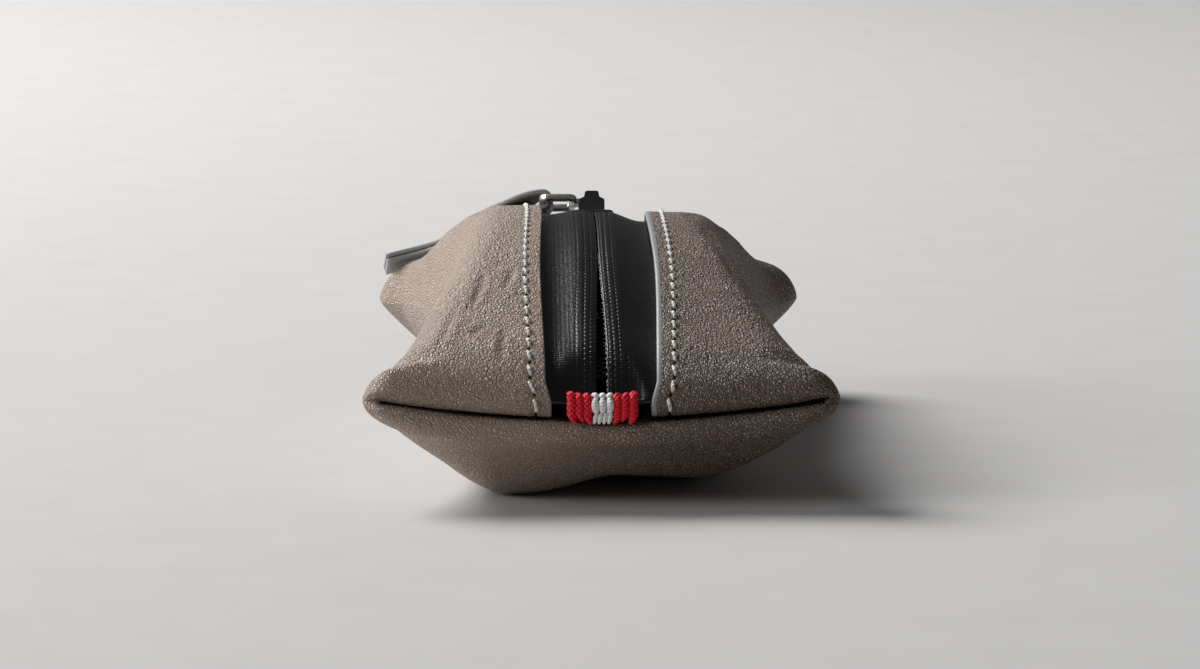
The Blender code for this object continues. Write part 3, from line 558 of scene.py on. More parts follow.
def leather_look():
    """Pebbled leather: small cells that run forward and outward, finer ones over them, and worn creases.

    Its colour is painted lighter on the left of the pouch as painted light and darker on its right as painted
    shade, and darker in the valleys between the cells as painted shade.
    """
    look = Look("pebbled_leather", (0.32, 0.25, 0.205), 0.40, specular=0.6)
    place = look.place()
    shift = look.node("TexNoise", Vector=place, Scale=300.0, Detail=2.0)
    wander = look.node("VectorMath", operation='MULTIPLY_ADD')
    look.put(shift.outputs["Color"], wander.inputs[0])
    wander.inputs[1].default_value = (0.0010, 0.0010, 0.0010)
    look.put(place, wander.inputs[2])
    turned = look.node("Mapping", Vector=wander.outputs[0], Rotation=(0.0, 0.0, math.radians(63))).outputs[0]
    pebbles = look.cracks(look.scaled(turned, 0.64, 1.12, 1.0), 1720.0, 0.42)
    fine = look.cracks(look.scaled(turned, 0.7, 1.1, 1.0), 3700.0, 0.40)
    creases = look.cracks(look.scaled(turned, 0.50, 1.0, 0.8), 620.0, 0.16)
    worn = look.span(look.noise(place, 70.0, 2.0), 0.38, 0.62, 0.15, 0.70)
    grain = look.sum(pebbles, fine, 0.40)
    patches = look.noise(place, 60.0, 4.0, 0.6)
    # Painted light and shade: the colour is lighter on the left, where the key lamp falls, and darker on the
    # right; the patches are the leather's own tone
    painted_light_from_left = look.span(look.parts(place)[0], -0.022, 0.020, 1.0, 0.0)
    painted_lit_side = look.blend(patches, (0.550, 0.435, 0.352), (0.700, 0.562, 0.462))
    # deep is the darker colour of the painted shade on the right
    deep = look.blend(patches, (0.305, 0.212, 0.152), (0.410, 0.290, 0.214))
    tone = look.blend(painted_light_from_left, deep, painted_lit_side)
    # Painted shade: the valleys between the cells are coloured much darker, darkest on the painted shaded
    # right
    hollow = look.blend(painted_light_from_left, (0.065, 0.040, 0.028), (0.340, 0.252, 0.194))
    look.colour(look.blend(look.span(grain, 0.0, 0.90), hollow, tone))
    look.gloss(pebbles, 0.0, 1.0, 0.54, 0.33)
    look.bump(look.math('ADD', grain, look.math('MULTIPLY', creases, worn)), 0.00030)
    return look.material


def grained_look(name, colour, roughness, dark, light, scale, detail, bump=None, grit=0.5, specular=0.5):
    """Plain surface with a fine grain in its tone and, where bump gives (depth, strength), in its relief."""
    look = Look(name, colour, roughness, specular=specular)
    grain = look.noise(look.place(), scale, detail, grit)
    look.colour(look.blend(grain, dark, light))
    if bump:
        look.bump(grain, *bump)
    return look.material


def edge_paint_look():
    return grained_look("painted_edge", (0.27, 0.285, 0.285), 0.45, (0.235, 0.25, 0.25), (0.31, 0.325, 0.325),
                        900.0, 3.0, (0.00006, 0.5))


def suede_look():
    return grained_look("suede_side", (0.22, 0.17, 0.14), 0.95, (0.17, 0.13, 0.105), (0.27, 0.22, 0.18),
                        2200.0, 5.0, (0.00012, 0.6), 0.7, 0.2)


# Painted shade: near-black colour for the plugs that stand for the shade in the needle holes
def painted_hole_shade_look():
    return grained_look("painted_hole_shade", (0.012, 0.009, 0.008), 0.9, (0.006, 0.005, 0.004),
                        (0.02, 0.016, 0.013), 2500.0, 3.0, specular=0.1)


def nylon_look():
    return grained_look("nylon_coil", (0.008, 0.008, 0.0085), 0.55, (0.005, 0.005, 0.0055),
                        (0.012, 0.012, 0.0125), 3000.0, 3.0, (0.00002, 0.5), specular=0.2)


def floor_look():
    return grained_look("pale_floor", (0.62, 0.61, 0.60), 0.9, (0.565, 0.557, 0.550), (0.625, 0.617, 0.610),
                        60.0, 5.0, grit=0.6, specular=0.2)


def tape_look():
    """Coated knit tape: fine ribs across it and wales along it, softened by the coating's grain."""
    look = Look("coated_tape", (0.007, 0.007, 0.0075), 0.36)
    uv = look.uv()
    x, s, _ = look.parts(uv)
    grain = look.noise(look.scaled(uv, 1.0, 0.35, 1.0), 2600.0, 4.0, 0.6)
    ribs = look.math('MULTIPLY', look.wave(s, KNIT_PITCH / 2), 0.32)
    height = look.sum(look.sum(ribs, look.wave(x, 0.0008), 0.10), grain, 0.9)
    look.colour(look.blend(grain, (0.0025, 0.0025, 0.0028), (0.007, 0.0068, 0.0068)))
    look.gloss(grain, 0.3, 0.7, 0.28, 0.40)
    look.bump(height, 0.00007, 0.8)
    return look.material


def thread_look(name, dark, light, roughness=0.8):
    """Sewing thread or yarn: two plies that wind round it, and their fibres."""
    look = Look(name, light, roughness, specular=0.3)
    around, along, _ = look.parts(look.uv())
    turn = look.math('ADD', look.math('MULTIPLY', around, 4 * math.pi),
                     look.math('MULTIPLY', along, 2 * math.pi / 0.0007))
    height = look.sum(look.math('SINE', turn), look.noise(look.place(), 4200.0, 4.0, 0.7))
    # Painted shade: the colour is darker in the grooves between the plies; the fibre noise in it is the
    # thread's own
    look.colour(look.blend(look.span(height, -1.0, 1.4), dark, light))
    look.bump(height, 0.00006, 0.7)
    return look.material


def smooth_leather_look(name, dark, light):
    look = Look(name, light, 0.55)
    place = look.place()
    tone = look.noise(place, 120.0, 4.0)
    look.colour(look.blend(tone, dark, light))
    look.bump(look.sum(look.cracks(place, 2400.0, 0.2), tone), 0.00005, 0.6)
    return look.material


def metal_look(name, colour, roughness, wear):
    """Plated metal with fine scratches and slightly cloudy gloss."""
    look = Look(name, colour, roughness, 1.0)
    place = look.place()
    cloud = look.noise(place, 420.0, 4.0)
    look.colour(look.blend(cloud, tuple(c * (1 - wear) for c in colour), colour))
    look.gloss(cloud, 0.3, 0.7, roughness * 0.8, roughness * 1.3)
    look.bump(look.noise(look.scaled(place, 1.0, 9.0, 9.0), 1500.0, 3.0, 0.7), 0.00001, 0.5)
    return look.material


# The leather body

def shoulder_points(flat, side, high, low, power, count):
    """Quarter of a rounded corner: from (flat, high) round to (side, low), as (x, z, share of high)."""
    points = []
    for k in range(1, count + 1):
        angle = k / count * math.pi / 2
        share = math.cos(angle) ** power if k < count else 0.0
        points.append((mix(flat, side, math.sin(angle) ** power), mix(low, high, share), share))
    return points


def half_rib(edge, top, side, bottom, t):
    """Right half of a section, from the zip's edge to the middle of the bottom.

    The top and the bottom are given as (y, z, width of the flat run, power of the corner), the side as
    (y, x, z).
    """
    panels = []
    for inner, (y, z, flat, power) in ((edge, top), (0.0, bottom)):
        run = [mix(inner, flat, k / RUN_COUNT) for k in range(RUN_COUNT + 1)]
        corner = shoulder_points(flat, side[1], z + ear_rise(flat, t), side[2], power, CORNER_COUNT)
        panels.append([(x, y, z + ear_rise(x, t)) for x in run]
                      + [(x, mix(side[0], y, share), height) for x, height, share in corner])
    return np.array(panels[0] + panels[1][-2::-1])


def roll_centre():
    forward = HALF_LENGTH + BOTTOM_ROLL_OUT - BOTTOM_ROLL_RADIUS
    return forward, SEAM_HEIGHT - SLEEVE_HALF - BOTTOM_ROLL_RADIUS


def bottom_line(p):
    """Place (forward, height) of the bottom panel at the share p of its way from the waist to the roll."""
    centre_y, centre_z = roll_centre()
    end = (centre_y + BOTTOM_ROLL_RADIUS * math.sin(ROLL_SLOPE),
           centre_z - BOTTOM_ROLL_RADIUS * math.cos(ROLL_SLOPE))
    base = LEATHER / 2
    rise = math.dist((BASE_REACH, base), end)
    flat_share = BASE_REACH / (BASE_REACH + rise)
    if p <= flat_share:
        return BASE_REACH * p / flat_share, base
    reach = 0.36 * rise
    curve = ((BASE_REACH, base), (BASE_REACH + reach, base),
             (end[0] - reach * math.cos(ROLL_SLOPE), end[1] - reach * math.sin(ROLL_SLOPE)), end)
    return bezier(curve, (p - flat_share) / (1 - flat_share))


def window_half(s):
    """Half width of the zip's window: it bows a little at mid-front and narrows just before the seams."""
    along = abs(s) / ZIP_HALF
    bow = WINDOW_BOW * math.sin(math.pi * min(1.0, along)) ** 2
    pinch = WINDOW_PINCH * ease((along - WINDOW_PINCHED_FROM) / (1 - WINDOW_PINCHED_FROM))
    return ZIP_OPENING / 2 + bow - pinch


def off_seams(s):
    """0 at the seams, 1 over the rest of the zip."""
    return ease((ZIP_HALF - abs(s) - RISES_FROM_SEAM) / RISES_OVER)


def leather_lift(s):
    """Height of the leather's middle over the zip line: it is pressed down except beside the seams."""
    return LEATHER_LIFT - PRESS * off_seams(s)


def through(knots, t):
    """Smooth value at t of a list of (place, value) knots."""
    for (a, low), (b, high) in zip(knots, knots[1:]):
        if t <= b:
            return mix(low, high, ease((t - a) / (b - a)))
    return knots[-1][1]


def body_rib(p, end):
    """Half section at the share p of the way from the waist to the fold at the front (-1) or rear (1) end."""
    side_y = p * (HALF_LENGTH - EAR_INSET)
    t = mix(side_y / HALF_LENGTH, 1.0, ease((p - 0.8) / 0.2))
    half = mix(SIDE_HALF, EAR_HALF, t ** 1.5)
    (y, z), (ny, nz) = zip_rail(p * ZIP_HALF)
    lift = leather_lift(p * ZIP_HALF)
    shoulders, power = (FRONT_SHOULDERS, TOP_POWER_FRONT) if end < 0 else (REAR_SHOULDERS, TOP_POWER_REAR)
    top = (y + lift * ny, z + lift * nz, half - through(shoulders, t),
           mix(TOP_POWER_WAIST, power, ease(t / 0.8)))
    side = (side_y, half, mix(SIDE_HEIGHT, SEAM_HEIGHT + EAR_LIFT, t * t))
    bottom_y, bottom_z = bottom_line(p)
    bottom_flat = mix(BOTTOM_FLAT_WAIST, BOTTOM_FLAT_BETWEEN, ease(t / 0.7))
    bottom_flat = mix(bottom_flat, BOTTOM_FLAT_EAR, ease((t - 0.7) / 0.3))
    power = mix(BOTTOM_POWER_WAIST, BOTTOM_POWER_END, ease(t / 0.85))
    return half_rib(window_half(p * ZIP_HALF), top, side, (bottom_y, bottom_z, bottom_flat, power), t)


def fold_rib(j):
    """Half section in the fold at the seam; j goes from 0 at its start to 1 where the allowance starts."""
    centre_y, centre_z = top_fold_centre()
    angle = mix(math.pi / 2 - SEAM_SLOPE, -math.pi / 2, j)
    corner = mix(SHOULDER_EAR, SLEEVE_HALF, ease(j * 1.4))
    half = EAR_HALF - EAR_ROUNDING * ease(j)
    top = (centre_y + TOP_FOLD_RADIUS * math.cos(angle), centre_z + TOP_FOLD_RADIUS * math.sin(angle),
           half - corner, 1.0)
    low_y, low_z = roll_centre()
    angle = mix(ROLL_SLOPE - math.pi / 2, math.pi / 2, j)
    low_corner = mix(EAR_HALF - BOTTOM_FLAT_EAR, SLEEVE_HALF, ease(j * 1.3))
    bottom = (low_y + BOTTOM_ROLL_RADIUS * math.cos(angle), low_z + BOTTOM_ROLL_RADIUS * math.sin(angle),
              half - low_corner, 1.0)
    side_y = HALF_LENGTH - EAR_INSET + EAR_BULGE * math.sin(math.pi * j)
    side = (side_y, half, SEAM_HEIGHT + EAR_LIFT)
    return half_rib(window_half(ZIP_HALF), top, side, bottom, 1.0)


def sleeve_rib(depth):
    """Half section of the seam allowance at a depth inside the fold."""
    last = fold_rib(1.0)
    start = HALF_LENGTH - EAR_INSET
    last[:, 1] = mix(last[:, 1], start - depth, ease(depth / SLEEVE_CLOSES_AFTER))
    return last


def respaced(rib):
    """The same section with points close together beside the zip's edge and even ones over the rest."""
    steps = np.linalg.norm(np.diff(rib, axis=0), axis=1)
    run = np.concatenate([[0.0], np.cumsum(steps)])
    edge = np.arange(0.0, EDGE_BAND, EDGE_STEP)
    rest = np.linspace(EDGE_BAND, run[-1], PANEL_COUNT)
    places = np.concatenate([edge, rest])
    return np.stack([np.interp(places, run, rib[:, k]) for k in range(3)], axis=1)


def dented(rib):
    """Raises the bottom panel in the hollow behind each seam; the hollow fades out up the sides."""
    inset = HALF_LENGTH - rib[:, 1]
    inside = (inset > 0) & (inset < DENT_LENGTH)
    along = np.sin(np.pi * inset / DENT_LENGTH) ** 2
    aside = rib[:, 0] - DENT_OFFSET
    across = np.exp(-(aside / np.where(aside > 0, DENT_RIGHT, DENT_LEFT)) ** 2)
    limit = SEAM_HEIGHT - SLEEVE_HALF - BOTTOM_ROLL_RADIUS
    raised = DENT_DEPTH * along * across * eased((limit - rib[:, 2]) / DENT_FADES_OVER)
    rib = rib.copy()
    rib[:, 2] += np.where(inside, raised, 0.0)
    return rib


def leather_grid():
    """Middle surface of the leather, rows from the front allowance to the rear, columns left to right."""
    count = int(ZIP_HALF / ROW_STEP)
    rest = [fold_rib(j / FOLD_COUNT) for j in range(FOLD_COUNT + 1)]
    rest += [sleeve_rib(depth) for depth in SLEEVE_DEPTHS]

    def whole(half, end):
        half = respaced(half)
        row = dented(np.concatenate([half * (-1, 1, 1), half[-2::-1]]))
        row[:, 1] *= end
        return row

    front, rear = ([whole(half, end) for half in [body_rib(k / count, end) for k in range(1, count)] + rest]
                   for end in (-1, 1))
    return np.array(front[::-1] + [whole(body_rib(0.0, 1), 1)] + rear)


def grid_normals(grid):
    """Unit normals of a grid of points, pointing away from the pouch."""
    along = np.gradient(grid, axis=0)
    across = np.gradient(grid, axis=1)
    normals = np.cross(along, across)
    return normals / np.linalg.norm(normals, axis=2, keepdims=True)


def crease_depths(points):
    """How far the creases push each point of the upper side inwards; each has a soft ridge on both sides."""
    depth = np.zeros(len(points))
    for line, deep, wide in CREASES:
        best = np.full(len(points), 1.0)
        taper = np.zeros(len(points))
        total = len(line) - 1
        for k in range(total):
            a, b = np.array(line[k]), np.array(line[k + 1])
            run = b - a
            t = np.clip(((points[:, :2] - a) @ run) / (run @ run), 0, 1)
            gap = np.linalg.norm(points[:, :2] - (a + t[:, None] * run), axis=1)
            taper = np.where(gap < best, np.sin(np.pi * (k + t) / total), taper)
            best = np.minimum(gap, best)
        ridge = bell(best, wide) - 0.45 * bell(best - 2.1 * wide, 1.1 * wide)
        depth += deep * np.clip(taper, 0, 1) * ridge
    return np.where(points[:, 2] > CREASES_ABOVE, depth, 0.0)


def leather_relief(points, edge_run, along):
    """How far each point of the outer face is pushed in: creases, waves and the groove under the stitches."""
    waves = np.array([noise.noise(Vector(p) * 75.0) + 0.5 * noise.noise(Vector(p) * 170.0) for p in points])
    holes = 0.5 + 0.5 * np.cos(2 * np.pi * along / STITCH_PITCH)
    groove = GROOVE_DEPTH + GROOVE_DEPTH_AT_HOLES * holes ** 3
    return crease_depths(points) + WAVE_DEPTH * waves + groove * bell(edge_run - STITCH_INSET, GROOVE_WIDTH)


def cut_edge(outer, inner, bulge):
    """Rounded band of the leather's cut edge, from its outer face to its inner one."""
    middle, up = (outer + inner) / 2, (outer - inner) / 2
    turns = [math.pi * k / (RIM_POINTS + 1) for k in range(1, RIM_POINTS + 1)]
    return np.array([middle + up * math.cos(a) + bulge * math.sin(a) ** 0.6 for a in turns])


def make_leather():
    grid = leather_grid()
    rows, columns = grid.shape[:2]
    normals = grid_normals(grid)
    steps = np.linalg.norm(np.diff(grid, axis=1), axis=2)
    run = np.concatenate([np.zeros((rows, 1)), np.cumsum(steps, axis=1)], axis=1)
    edge_run = np.minimum(run, run[:, -1:] - run).reshape(-1)
    along = np.concatenate([[0.0], np.cumsum(np.linalg.norm(np.diff(grid[:, 0], axis=0), axis=1))])
    along = np.repeat(along - along[rows // 2], columns)
    relief = leather_relief(grid.reshape(-1, 3), edge_run, along).reshape(rows, columns, 1)
    outer = grid + normals * (LEATHER / 2 - relief)
    inner = grid - normals * LEATHER / 2
    rings = []
    for r in range(rows):
        bands = []
        for end, step, rounding in ((0, 1, RIM_ROUND_LEFT), (-1, -2, RIM_ROUND_RIGHT)):
            out = grid[r, end] - grid[r, step]
            bulge = out / np.linalg.norm(out) * LEATHER * rounding
            bands.append(cut_edge(outer[r, end], inner[r, end], bulge))
        rings.append(np.concatenate([outer[r], bands[1], inner[r, ::-1], bands[0][::-1]]))
    face, paint, flesh = 0, 1, 2
    edge = [paint] * (RIM_POINTS + 1)
    kinds = [face] * (columns - 2) + [paint] + edge + [flesh] * (columns - 1) + edge
    body = add_mesh("leather_panel", lean(np.concatenate(rings)), tube_faces(rows, len(rings[0])),
                    [leather_look(), edge_paint_look(), suede_look()], "pouch",
                    kinds * (rows - 1) + [flesh, flesh])
    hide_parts("leather_body")


# Stitches beside the zip

def leather_place(side, s):
    """A point of the leather's outer face on the stitch line, with its normal and its direction along.

    Past the end of the zip line it goes round the fold, down into the seam.
    """
    s_in = max(-ZIP_HALF, min(ZIP_HALF, s))
    inset = window_half(s_in) + STITCH_INSET
    (y, z), (ny, nz) = zip_rail(s_in)
    rise = ear_rise(inset, min(1.0, abs(y) / HALF_LENGTH))
    lift = leather_lift(s_in)
    if s != s_in:
        end = math.copysign(1.0, s)
        centre_y, centre_z = top_fold_centre()
        angle = math.pi / 2 - SEAM_SLOPE - abs(s - s_in) / TOP_FOLD_RADIUS
        ny, nz = end * math.cos(angle), math.sin(angle)
        y, z, lift = end * centre_y, centre_z, TOP_FOLD_RADIUS
    lift += LEATHER / 2 - STITCH_SUNK
    here = Vector((side * inset, y + lift * ny, z + lift * nz + rise))
    return here, Vector((0, ny, nz)), Vector((0, nz, -ny))


def stitch_rings(side, s, twist):
    """One slanted stitch, sunk into its holes at both ends."""
    rings = []
    for k in range(STITCH_STEPS + 1):
        t = k / STITCH_STEPS
        swell = math.sin(math.pi * t)
        here, up, _ = leather_place(side, s + (t - 0.5) * STITCH_LENGTH)
        rise = STITCH_RISE * swell ** 0.7 - STITCH_DIVE * (1 - swell)
        centre = here + up * rise + Vector((STITCH_SLANT * (0.5 - t), 0, 0))
        around = []
        for a in angles(10):
            ply = 1 + 0.16 * math.cos(STITCH_PLIES * a - twist - STITCH_TWIST * t)
            thick = STITCH_WIDTH / 2 * (0.55 + 0.45 * swell ** 0.5) * ply
            around.append(centre + ACROSS * math.cos(a) * thick + up * math.sin(a) * thick)
        rings.append(around)
    return rings


def hole_rings(side, s):
    """The needle hole between two stitches, as a low dark plug: painted shade in the hole."""
    here, up, ahead = leather_place(side, s)
    return [circle(here + up * level, ACROSS * HOLE_ACROSS * size, ahead * HOLE_ALONG * size, 10)
            for size, level in HOLE_RINGS]


def make_stitches():
    thread, holes = Bundle(), Bundle()
    rng = random.Random(7)
    count = 2 * math.ceil(ZIP_HALF / STITCH_PITCH)
    for side in (-1, 1):
        for k in range(count + 1):
            s = (k - count / 2) * STITCH_PITCH
            if k < count:
                twist = rng.uniform(0, 6)
                thread.tube(stitch_rings(side, s + STITCH_PITCH / 2, twist), 0, STITCH_LENGTH / STITCH_STEPS)
            holes.tube(hole_rings(side, s))
    made = thread.add("seam_stitches", [thread_look("seam_thread", (0.50, 0.48, 0.44), (0.84, 0.82, 0.78))],
                      "pouch")
    made = holes.add("painted_hole_shade_plugs", [painted_hole_shade_look()], "pouch")


# Zip tape and coils

def spread(s):
    """How far the slider's post holds each half of the zip aside; they draw together again behind it."""
    start = SLIDER_S - 0.001
    full = SLIDER_S + SLIDER_LENGTH / 2 - POST_FROM_NOSE - POST_LENGTH
    opened = ease((s - start) / (full - start))
    shut = ease((s - SLIDER_S - SLIDER_LENGTH) / (ZIP_HALF - SLIDER_S - SLIDER_LENGTH))
    return NOSE_SPREAD * opened * (1 - 0.6 * shut)


def lip_gap(s):
    """Half the gap between the lips: they meet over the crest and part towards the front end."""
    front = ease((-s - LIPS_PART_AT) / LIPS_PART_OVER)
    return mix(LIP_GAP_CREST, LIP_GAP_FRONT, front) + spread(s)


def tape_profile(s):
    """Upper face of one half of the tape as (x, height), from the lip to the outer edge."""
    gap = lip_gap(s)
    points = []
    for k in range(6):
        angle = math.pi / 2 * (1 - k / 5)
        points.append((gap + LIP_RADIUS * (1 - math.sin(angle)), LIP_DROP * (math.cos(angle) - 1)))
    start = gap + LIP_RADIUS
    knit = np.arange(start + 0.0001, start + KNIT_BAND, KNIT_STEP)
    rest = np.linspace(knit[-1] + 0.0002, ZIP_OPENING / 2 + TAPE_UNDER_LEATHER, TAPE_REST_COUNT)
    return points + [(float(x), 0.0) for x in knit] + [(float(x), 0.0) for x in rest]


def tape_height(x, s, side):
    """Height of the tape's upper face over its CAD line: bulge, knit rows, sag, dip and fold."""
    height = BULGE * bell(x - BULGE_AT, BULGE_WIDTH)
    from_lip = x - lip_gap(s)
    for row, (place, deep) in enumerate(KNIT_ROWS):
        if abs(from_lip - place) < 0.0006:
            knit = 0.5 + 0.5 * math.cos(2 * math.pi * (s / KNIT_PITCH + 0.37 * row + 0.1 * side))
            height -= deep * (0.12 + 0.88 * knit ** 2) * bell(from_lip - place, KNIT_ROW_WIDTH)
    crest = ease((ZIP_HALF - abs(s)) / SAG_FADES_OVER)
    height -= (SAG_RIGHT if side > 0 else SAG_LEFT) * crest * ease((x - SAG_FROM) / SAG_OVER)
    height -= END_SAG * (1 - crest) * off_seams(s) * ease((x - END_SAG_FROM) / END_SAG_OVER)
    near = ease((-s - (ZIP_HALF - DIP_FROM_SEAM)) / DIP_OVER)
    height -= DIP * near * bell(x, mix(*DIP_WIDTHS, near), 4)
    if side > 0:
        height += FOLD * near * bell(x - mix(*FOLD_PLACES, near), FOLD_WIDTH)
    return height


def tail_points(stop):
    """The tape's turn down at a seam and its tail behind it, as (y, z, normal)."""
    (y, z), (ny, nz) = zip_rail(stop)
    turn = TAPE_TURN_RADIUS
    centre_y, centre_z = y - (TAPE / 2 + turn) * ny, z - (TAPE / 2 + turn) * nz
    first = math.atan2(nz, ny)
    points = []
    for k in range(1, 7):
        angle = mix(first, -math.pi / 2, k / 6)
        normal = (math.cos(angle), math.sin(angle))
        points.append((centre_y + turn * normal[0], centre_z + turn * normal[1], normal))
    return points + [(centre_y - TAPE_TAIL, centre_z - turn, (0.0, -1.0))]


def make_tape(side, name, node, look):
    stop = ZIP_HALF - TAPE_TURN_FROM_SEAM
    count = int(2 * stop / (KNIT_PITCH / 8))
    tail = tail_points(stop)
    line = [(-y, z, -ny, nz, -stop, False) for y, z, (ny, nz) in reversed(tail)]
    for k in range(count + 1):
        s = mix(-stop, stop, k / count)
        (y, z), (ny, nz) = zip_rail(s)
        line.append((y - TAPE / 2 * ny, z - TAPE / 2 * nz, ny, nz, s, True))
    line += [(y, z, ny, nz, stop, False) for y, z, (ny, nz) in tail]
    points, uvs = [], []
    for y, z, ny, nz, s, on_top in line:
        profile = tape_profile(s)
        t = min(1.0, abs(y) / HALF_LENGTH)
        upper, lower = [], []
        for x, height in profile:
            high = TAPE / 2 + height + (tape_height(x, s, side) if on_top else 0.0)
            low = min(height * 0.5 - TAPE / 2, high - TAPE_THINNEST)
            base = z + ear_rise(x, t)
            upper.append((side * x, y + high * ny, base + high * nz))
            lower.append((side * (x + 0.0001), y + low * ny, base + low * nz))
        points += upper + lower[::-1]
        uvs += [(x, s) for x, _ in profile + profile[::-1]]
    made = add_mesh(name, lean(points), tube_faces(len(line), 2 * len(profile)), [look], "pouch", uvs=uvs)
    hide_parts(node)


def make_coil(side, name, node, look):
    """Coil of one side: a flat spiral whose loops reach past the middle between those of the other side."""
    loops = int(2 * (ZIP_HALF - COIL_END) / KNIT_PITCH)
    start = -loops * KNIT_PITCH / 2 + (KNIT_PITCH / 2 if side > 0 else 0.0)
    middle = (COIL_REACH - TOOTH_PAST_MIDDLE) / 2
    half = (COIL_REACH + TOOTH_PAST_MIDDLE) / 2 - COIL_WIRE
    level = -TAPE - FIT - COIL_HEIGHT / 2
    tall = COIL_HEIGHT / 2 - COIL_WIRE
    per_loop = 14
    places = [start + KNIT_PITCH * k / per_loop for k in range(loops * per_loop + 1)]
    line = []
    for k, s in enumerate(places):
        a = 2 * math.pi * k / per_loop
        line.append(on_zip(side * (middle + half * math.cos(a) + spread(s)), s, level + tall * math.sin(a)))
    rings = []
    for k, (point, s) in enumerate(zip(line, places)):
        ahead = (line[min(k + 1, len(line) - 1)] - line[max(k - 1, 0)]).normalized()
        _, (ny, nz) = zip_rail(s)
        out = ahead.cross(Vector((0, nz, -ny))).normalized()
        other = ahead.cross(out).normalized()
        rings.append(circle(point, out * COIL_WIRE, other * COIL_WIRE, 6))
    bundle = Bundle()
    bundle.tube(rings)
    made = bundle.add(name, [look], "pouch")
    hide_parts(node)


def make_painted_lip_glints():
    """Painted highlight: short light grey beads along the edge of the right lip, standing for the glints
    where the coil catches the light.
    """
    bundle = Bundle()
    rng = random.Random(11)
    s = GLINTS_FROM
    while s > GLINTS_TO:
        length = rng.uniform(*GLINT_LENGTHS)
        radius = rng.uniform(*GLINT_RADII)
        rings = []
        for k in range(9):
            t = k / 8
            here = s - t * length
            thick = radius * math.sin(math.pi * mix(0.06, 0.94, t)) ** 0.5
            x = lip_gap(here) + 0.00003 + 0.00006 * math.sin(2.6 * t + s * 9000)
            centre = on_zip(x, here, GLINT_LEVEL + 0.00006 * math.sin(math.pi * t))
            up = Vector((0, *zip_rail(here)[1]))
            rings.append(circle(centre, ACROSS * thick, up * thick, 8))
        bundle.tube(rings, 0, length / 8)
        s -= length + rng.uniform(*GLINT_GAPS) * (1 if s > GLINTS_THIN_OUT else 1.8)
    # Painted highlight: light grey colour on the glint beads
    made = bundle.add("painted_lip_glints", [thread_look("painted_glint", (0.34, 0.34, 0.33), (0.66, 0.65, 0.64), 0.35)],
                      "pouch")


# Pull strap, key tab and ribbon

def strip_frames(curve, across_start, across_end, wrap, closed_half, closes_after, count):
    """Frames (point, ahead, across, up, half of the gap between the plies) along a folded strip."""
    frames = []
    length = 0.0
    last = Vector(curve[0])
    for k in range(count + 1):
        t = k / count
        point = Vector(bezier(curve, t))
        after, before = bezier(curve, min(1.0, t + 0.01)), bezier(curve, max(0.0, t - 0.01))
        ahead = (Vector(after) - Vector(before)).normalized()
        across = across_start.lerp(across_end, ease(t))
        up = ahead.cross(across).normalized()
        if up.z < 0:
            up = -up
        across = (across - ahead * across.dot(ahead)).normalized()
        length += (point - last).length
        last = point
        frames.append((point, ahead, across, up, mix(wrap, closed_half, ease(length / closes_after))))
    return frames


def ply_ring(centre, across, out, width, thickness):
    """Section of a strip with rounded edges."""
    around = []
    corner = 0.42 * thickness
    for side, lift in ((1, 1), (-1, 1), (-1, -1), (1, -1)):
        for k in range(4):
            a = k / 3 * math.pi / 2
            cx, cz = (math.cos(a), math.sin(a)) if side * lift > 0 else (math.sin(a), math.cos(a))
            around.append(centre + across * side * (width / 2 - corner * (1 - cx))
                          + out * lift * (thickness / 2 - corner * (1 - cz)))
    return around


def folded_strip(name, frames, wrap, width, look, body):
    """Strip folded in two round a bar, both plies in one piece."""
    rings = [ply_ring(point + up * gap, across, up, width, STRAP_THICKNESS)
             for point, ahead, across, up, gap in reversed(frames)]
    point, ahead, across, up, gap = frames[0]
    turns = 20
    for k in range(1, turns):
        angle = math.pi * k / turns
        out = up * math.cos(angle) - ahead * math.sin(angle)
        rings.append(ply_ring(point + out * wrap, across, out, width, STRAP_THICKNESS))
    rings += [ply_ring(point - up * gap, across, -up, width, STRAP_THICKNESS)
              for point, ahead, across, up, gap in frames]
    bundle = Bundle()
    bundle.tube(rings)
    return bundle.add(name, [look], body, leans=False)


def make_pull_strap():
    """The strap starts round the far wire of the puller and ends flat over the left shoulder."""
    along = Vector((0, math.cos(SLIDER_ANGLE), -math.sin(SLIDER_ANGLE)))
    up = Vector((0, math.sin(SLIDER_ANGLE), math.cos(SLIDER_ANGLE)))
    pin = on_zip(0.0, SLIDER_S, PIN_HEIGHT)
    bar = pin - ACROSS * (FRAME_NEAR + FRAME_LENGTH)
    leaves, middle = (ACROSS * x + along * y + up * z for x, y, z in (STRAP_LEAVES, STRAP_MIDDLE))
    end = Vector((STRAP_END_FROM_EAR - END_WIDTH / 2, HALF_LENGTH - STRAP_END_FROM_SEAM,
                  SEAM_HEIGHT + STRAP_END_OVER_SEAM))
    arrive = Vector(STRAP_ARRIVES).normalized() * STRAP_LAST_REACH * (end - bar).length
    curve = (bar, bar + leaves, pin + middle, end - arrive, end)
    wrap = FRAME_WIRE / 2 + FIT + STRAP_THICKNESS / 2
    frames = strip_frames(curve, along, Vector(STRAP_ACROSS_AT_END), wrap, STRAP_PLY_HALF,
                          STRAP_CLOSES_AFTER, 60)
    look = smooth_leather_look("grey_strap", (0.29, 0.298, 0.30), (0.40, 0.408, 0.412))
    made = folded_strip("grey_pull_strap", frames, wrap, STRAP_WIDTH, look, "strap")
    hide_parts("pull_strap")


def tab_wrap():
    radius = (RING_DIAMETER - RING_WIRE) / 2
    sag = radius - math.sqrt(radius ** 2 - (TAB_WIDTH / 2) ** 2)
    corner = math.hypot(RING_WIRE / 2 + sag, (2 * RING_WIRE + RING_TURN_GAP) / 2)
    return corner + FIT + STRAP_THICKNESS / 2


